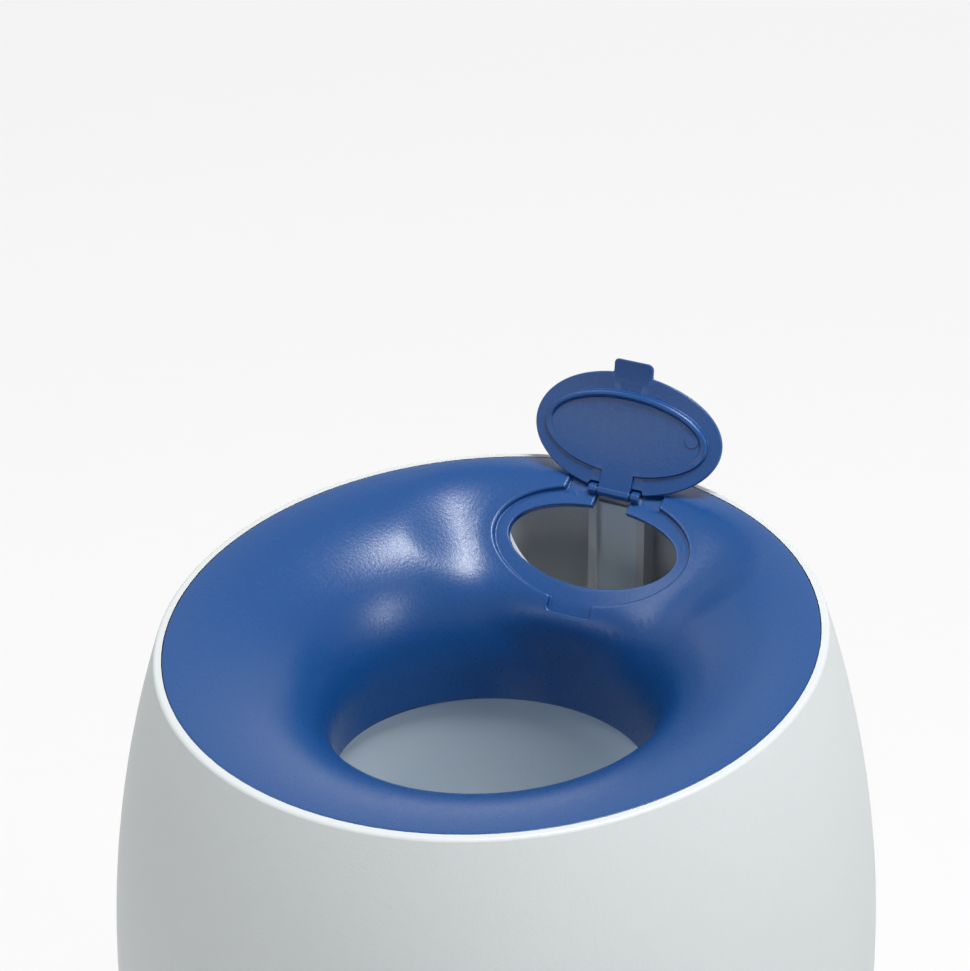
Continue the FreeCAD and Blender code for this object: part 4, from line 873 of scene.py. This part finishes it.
def add_cheeks(mesh):
    """The two cheeks that hold the hinge pin, one on each side of the slot."""
    for side in (-1, 1):
        near = side * CHEEK_INNER
        far = side * CHEEK_OUTER
        loops = [
            hinge_loop(PIN_HOLE, near),
            cheek_profile(near, CHEEK_SOFT),
            cheek_profile(near + side * CHEEK_SOFT, 0.0),
            cheek_profile(far - side * CHEEK_SOFT, 0.0),
            cheek_profile(far, CHEEK_SOFT),
            hinge_loop(PIN_HOLE, far),
        ]
        add_loops(mesh, loops, closed=True)


def funnel_ring_mesh():
    """The whole ring: its two skins meet at the rim and at the throat's end."""
    mesh = bmesh.new()
    angles = ray_angles(HATCH_CORNERS)
    patch = (PATCH_HALF[0] * np.cos(angles), PATCH_HALF[1] * np.sin(angles))
    hatch_turn, hatch_azimuth = find_on_trumpet(*patch)
    add_trumpet(mesh, hatch_turn, hatch_azimuth)
    add_hatch(mesh, angles, patch, hatch_turn, hatch_azimuth)
    bmesh.ops.remove_doubles(mesh, verts=mesh.verts, dist=SAME_PLACE)
    rims = [edge for edge in mesh.edges if edge.is_boundary]
    bmesh.ops.bridge_loops(mesh, edges=rims)
    add_skirt(mesh)
    add_bosses(mesh)
    add_cheeks(mesh)
    return mesh


ring = new_piece("trumpet_ring", funnel_ring_mesh(), "housing", "funnel_ring", ring_plastic)
ring.modifiers.new("even shading", "WEIGHTED_NORMAL").keep_sharp = True

# Hopper lid: the same blue, a plate that closes flush with the deck, with a plug ridge and a thicker
# panel under it, a finger tab in front and a neck and barrel on the steel hinge pin behind.

LID_HALF = (0.0328, 0.0194)
LID_THICK = 0.0016
LID_OPEN = math.radians(148)
LID_EDGE = 0.0005
LID_CORNERS = (59.5, 61.5, 65.0, 72.2, -70.0, -73.6)
TAB_HALF = 0.0068
TAB_REACH = 0.0235
TAB_CORNER = 0.0018
PLUG_HALF = (0.0287, 0.0134)
PLUG_WALL = 0.0027
PLUG_DEPTH = 0.0037
PLUG_FADE = 0.006
BEAD_LEAST = 0.0004
BEAD_GROWTH = 0.0009
PANEL_DEPTH = 0.0026
PANEL_INSET = 0.0002
MARK_PLACE = (0.0232, -0.0020)
MARK_RADIUS = 0.0023
MARK_HEIGHT = 0.0003
NECK_HALF = 0.0056
NECK_START = 0.0105
NECK_END = HINGE_V + 0.0004
NECK_TOP = 0.0002
NECK_PROUD = 0.00004
NECK_SOFT = 0.0003
BARREL_RADIUS = 0.002
BARREL_BORE = 0.00105
CLEARING_HALF = CHEEK_OUTER + 0.0004
CLEARING_START = HINGE_V - CHEEK_RADIUS - 0.0005
CLEARING_END = 0.030
CLEARING_CORNER = 0.0005


def lid_outline(u, v):
    """The plate's oval with its tab, cut back where the cheeks stand."""
    tab = box_distance(u, v, TAB_HALF, -TAB_REACH, 0.0, TAB_CORNER)
    plate = joined(oval_distance(u, v, LID_HALF), tab, INNER_CORNER)
    clearing = box_distance(u, v, CLEARING_HALF, CLEARING_START, CLEARING_END, CLEARING_CORNER)
    return np.maximum(plate, -clearing)


def plug_outline(u, v):
    """The outer side of the plug's ridge."""
    return oval_distance(u, v, PLUG_HALF)


def plug_top(u, v):
    """Depth of the ridge: proud at the tab's side, level with the panel at the hinge's side."""
    proud = smooth_step((PLUG_FADE - v) / (2 * PLUG_FADE))
    return PANEL_DEPTH + (PLUG_DEPTH - PANEL_DEPTH) * proud


def add_plate(mesh):
    """The closed lid's plate, the ridge with its soft bead and the panel inside it."""
    angles = ray_angles(LID_CORNERS)
    centre = (np.zeros_like(angles), np.zeros_like(angles))

    def plate(offset):
        return outline_points(lid_outline, offset, angles)

    def plug(offset):
        return outline_points(plug_outline, offset, angles)

    brim = plate(-LID_EDGE)
    shares = (0.03, 0.12, 0.25, 0.4, 0.55, 0.7, 0.85, 0.95, 1.0)
    loops = [under_deck(between(centre, brim, share), 0.0) for share in shares]
    for along, down in rounding(LID_EDGE, 4, 90, -90)[1:]:
        loops.append(under_deck(plate(along - LID_EDGE), LID_EDGE - down))
    for along, down in rounding(LID_EDGE, 4, 0, 90):
        loops.append(under_deck(plate(along - LID_EDGE), LID_THICK - LID_EDGE + down))
    loops.append(under_deck(between(brim, plug(FOOT_ROUND), 0.5), LID_THICK))
    for along, down in rounding(FOOT_ROUND, 3, 90, -90):
        loops.append(under_deck(plug(FOOT_ROUND - along), LID_THICK + FOOT_ROUND - down))
    ridge = plug_top(*plug(-PLUG_WALL / 2))
    bead = BEAD_LEAST + BEAD_GROWTH * (ridge - PANEL_DEPTH) / (PLUG_DEPTH - PANEL_DEPTH)
    for along, down in rounding(bead, 5, 0, 90):
        low = np.minimum(ridge - bead + down, ridge)
        loops.append(under_deck(plug(along - bead), np.maximum(low, LID_THICK + FOOT_ROUND)))
    for along, down in rounding(bead, 5, 90, 90):
        drop = np.maximum(ridge - bead + down, PANEL_DEPTH)
        loops.append(under_deck(plug(bead - PLUG_WALL + along), drop))
    panel = plug(-PLUG_WALL - PANEL_INSET)
    shares = (1.0, 0.95, 0.85, 0.7, 0.5, 0.3, 0.12, 0.03)
    loops += [under_deck(between(centre, panel, share), PANEL_DEPTH) for share in shares]
    add_capped(mesh, loops)


def add_mark(mesh):
    """A small round mark, raised on the panel near one end."""
    turns = np.linspace(0, 2 * math.pi, 32, endpoint=False)
    top = PANEL_DEPTH + MARK_HEIGHT
    soft = 0.0001
    loops = []
    for radius, depth in (
        (MARK_RADIUS, PANEL_DEPTH - MARK_HEIGHT),
        (MARK_RADIUS, top - soft),
        (MARK_RADIUS - soft, top),
    ):
        place = (MARK_PLACE[0] + radius * np.cos(turns), MARK_PLACE[1] + radius * np.sin(turns))
        loops.append(under_deck(place, depth))
    add_capped(mesh, loops)


def neck_section(v):
    """A section across the neck: a box with broken corners between the plate's face and the panel's."""
    side = [
        (NECK_SOFT - NECK_HALF, NECK_TOP),
        (-NECK_HALF, NECK_TOP + NECK_SOFT),
        (-NECK_HALF, PANEL_DEPTH - NECK_SOFT),
        (NECK_SOFT - NECK_HALF, PANEL_DEPTH + NECK_PROUD),
    ]
    corners = np.array(side + [(-u, depth) for u, depth in reversed(side)])
    place = (corners[:, 0], np.full(len(corners), v))
    return under_deck(place, corners[:, 1])


def add_neck(mesh):
    """The neck from the panel to the hinge, and the barrel that turns on the pin."""
    add_capped(mesh, [neck_section(v) for v in np.linspace(NECK_START, NECK_END, 10)])
    loops = [
        hinge_loop(BARREL_BORE, -NECK_HALF),
        hinge_loop(BARREL_RADIUS - NECK_SOFT, -NECK_HALF),
        hinge_loop(BARREL_RADIUS, NECK_SOFT - NECK_HALF),
        hinge_loop(BARREL_RADIUS, NECK_HALF - NECK_SOFT),
        hinge_loop(BARREL_RADIUS - NECK_SOFT, NECK_HALF),
        hinge_loop(BARREL_BORE, NECK_HALF),
    ]
    add_loops(mesh, loops, closed=True)


def lid_mesh():
    """The lid, made closed on the deck and then turned open about the hinge."""
    mesh = bmesh.new()
    add_plate(mesh)
    add_mark(mesh)
    add_neck(mesh)
    hinge = Vector(from_deck(0.0, HINGE_V, HINGE_N))
    bmesh.ops.rotate(mesh, cent=hinge, matrix=Matrix.Rotation(-LID_OPEN, 3, "X"), verts=mesh.verts)
    return mesh


lid = new_piece("hatch_lid", lid_mesh(), "lid", "hopper_lid", ring_plastic)
lid.modifiers.new("even shading", "WEIGHTED_NORMAL").keep_sharp = True
dress("lid_hinge_pin", steel, edge=0.0001)

# Shell: the pale satin barrel, one injection moulding with a slanted rounded lip, that everything
# hangs in. A blue arch frame is pushed into the ball's outlet at its front.

shell_plastic = moulded_finish(
    "shell_plastic",
    colour=(0.70, 0.735, 0.745),
    deep=(0.67, 0.71, 0.72),
    dust=(0.56, 0.55, 0.52),
    roughness=0.44,
    grain=1300.0,
    bump=0.22,
    flow=0.5,
    settled=0.15,
    scratches=0.08,
)
dress("body_shell", shell_plastic, edge=0.0003)
dress("outlet_frame", ring_plastic, edge=0.0004)

# Screws: zinc-plated pan heads with a round socket, driven into the mouldings' bosses from below
# or from inside, so none shows from above.

for group in ("base_screws", "ring_screws", "ramp_screws", "housing_screws", "hopper_screws"):
    dress(group, steel, edge=0.0001)

# Studio: a white paper sweep that turns up behind the object, a soft light overhead, one high on
# each side, three low ones round the object, and the camera at the photograph's angle.

CAMERA_TURN = math.radians(28.228)
CAMERA_TILT = math.radians(90 - 25.732)


def seen_directly(tree, link):
    """1 where the camera looks at a surface, or sees it in gloss or through something clear."""
    path = tree.new("ShaderNodeLightPath")
    either = tree.new("ShaderNodeMath")
    either.operation = "MAXIMUM"
    link(path.outputs["Is Camera Ray"], either.inputs[0])
    link(path.outputs["Is Glossy Ray"], either.inputs[1])
    any_of_them = tree.new("ShaderNodeMath")
    any_of_them.operation = "MAXIMUM"
    link(either.outputs[0], any_of_them.inputs[0])
    link(path.outputs["Is Transmission Ray"], any_of_them.inputs[1])
    return any_of_them.outputs[0]


def floor_material():
    """White paper: a little of it is lit, so that it keeps the object's shadow."""
    material = bpy.data.materials.new("floor_paper")
    material.use_nodes = True
    tree = material.node_tree.nodes
    link = material.node_tree.links.new
    shader = tree["Principled BSDF"]
    shader.inputs["Roughness"].default_value = 0.9
    place = tree.new("ShaderNodeTexCoord")
    fibre = tree.new("ShaderNodeTexNoise")
    fibre.inputs["Scale"].default_value = 60.0
    fibre.inputs["Detail"].default_value = 6.0
    link(place.outputs["Object"], fibre.inputs["Vector"])
    tint = tree.new("ShaderNodeValToRGB")
    tint.color_ramp.elements[0].color = (0.80, 0.80, 0.80, 1.0)
    tint.color_ramp.elements[1].color = (0.86, 0.86, 0.85, 1.0)
    link(fibre.outputs["Fac"], tint.inputs["Fac"])
    link(tint.outputs["Color"], shader.inputs["Base Color"])
    white = tree.new("ShaderNodeEmission")
    whiter = tree.new("ShaderNodeMath")
    whiter.operation = "MULTIPLY"
    whiter.inputs[1].default_value = 0.8
    link(seen_directly(tree, link), whiter.inputs[0])
    mix = tree.new("ShaderNodeMixShader")
    link(whiter.outputs[0], mix.inputs["Fac"])
    link(shader.outputs["BSDF"], mix.inputs[1])
    link(white.outputs["Emission"], mix.inputs[2])
    link(mix.outputs["Shader"], tree["Material Output"].inputs["Surface"])
    return material


def sweep():
    """A floor that turns up into a backdrop well behind the object."""
    half_width = 5.0
    near_edge = -4.0
    bend_start = 3.0
    bend_radius = 1.0
    top = 4.0
    steps = 12
    outline = [(near_edge, 0.0), (bend_start, 0.0)]
    for step in range(1, steps + 1):
        angle = math.radians(90 * step / steps)
        outline.append((bend_start + bend_radius * math.sin(angle), bend_radius * (1 - math.cos(angle))))
    outline.append((bend_start + bend_radius, top))
    corners = [(x, y, z) for y, z in outline for x in (-half_width, half_width)]
    faces = [(2 * i, 2 * i + 1, 2 * i + 3, 2 * i + 2) for i in range(len(outline) - 1)]
    mesh = bpy.data.meshes.new("floor")
    mesh.from_pydata(corners, [], faces)
    mesh.polygons.foreach_set("use_smooth", [True] * len(faces))
    mesh.materials.append(floor_material())
    floor = bpy.data.objects.new("floor", mesh)
    bpy.context.scene.collection.objects.link(floor)
    floor.rotation_euler = (0.0, 0.0, math.radians(28))
    return floor


sweep()


def soft_light(name, place, aim_height, power, width, height):
    """A rectangular lamp that faces a height over the object's middle."""
    light = bpy.data.lights.new(name, "AREA")
    light.shape = "RECTANGLE"
    light.size = width
    light.size_y = height
    light.energy = power
    lamp = bpy.data.objects.new(name, light)
    bpy.context.scene.collection.objects.link(lamp)
    lamp.location = place
    direction = Vector((0.0, 0.0, aim_height)) - Vector(place)
    lamp.rotation_mode = "QUATERNION"
    lamp.rotation_quaternion = direction.to_track_quat("-Z", "Y")


soft_light("top_light", (0.42, -0.08, 1.75), 0.2, 24.5, 0.56, 0.56)
soft_light("left_light", (-1.3, -0.4, 1.6), 0.2, 7.5, 0.9, 0.9)
soft_light("right_light", (2.1, 0.15, 1.35), 0.2, 10.5, 0.60, 0.60)
soft_light("low_light", (1.9, -1.7, 0.32), 0.14, 6.5, 2.4, 0.35)
soft_light("front_light", (-1.1, -2.4, 0.62), 0.2, 5.5, 1.6, 0.6)
soft_light("back_light", (-0.6, 2.2, 0.42), 0.15, 5.0, 1.8, 0.5)

world = bpy.data.worlds.new("studio")
bpy.context.scene.world = world
world.use_nodes = True
sky = world.node_tree.nodes
sky_link = world.node_tree.links.new
fill = sky["Background"]
fill.inputs["Color"].default_value = (0.95, 0.97, 1.0, 1.0)
fill.inputs["Strength"].default_value = 0.09
backdrop = sky.new("ShaderNodeBackground")
backdrop.inputs["Strength"].default_value = 0.7
chosen = sky.new("ShaderNodeMixShader")
sky_link(seen_directly(sky, sky_link), chosen.inputs["Fac"])
sky_link(fill.outputs["Background"], chosen.inputs[1])
sky_link(backdrop.outputs["Background"], chosen.inputs[2])
sky_link(chosen.outputs["Shader"], sky["World Output"].inputs["Surface"])

lens = bpy.data.cameras.new("camera")
lens.sensor_fit = "HORIZONTAL"
lens.sensor_width = 36.0
lens.lens = 122.49
lens.clip_end = 30.0
camera = bpy.data.objects.new("camera", lens)
bpy.context.scene.collection.objects.link(camera)
camera.location = (0.4141, -0.7788, 0.6992)
camera.rotation_euler = (CAMERA_TILT, 0.0, CAMERA_TURN)
bpy.context.scene.camera = camera
bpy.context.scene.view_settings.view_transform = "Standard"
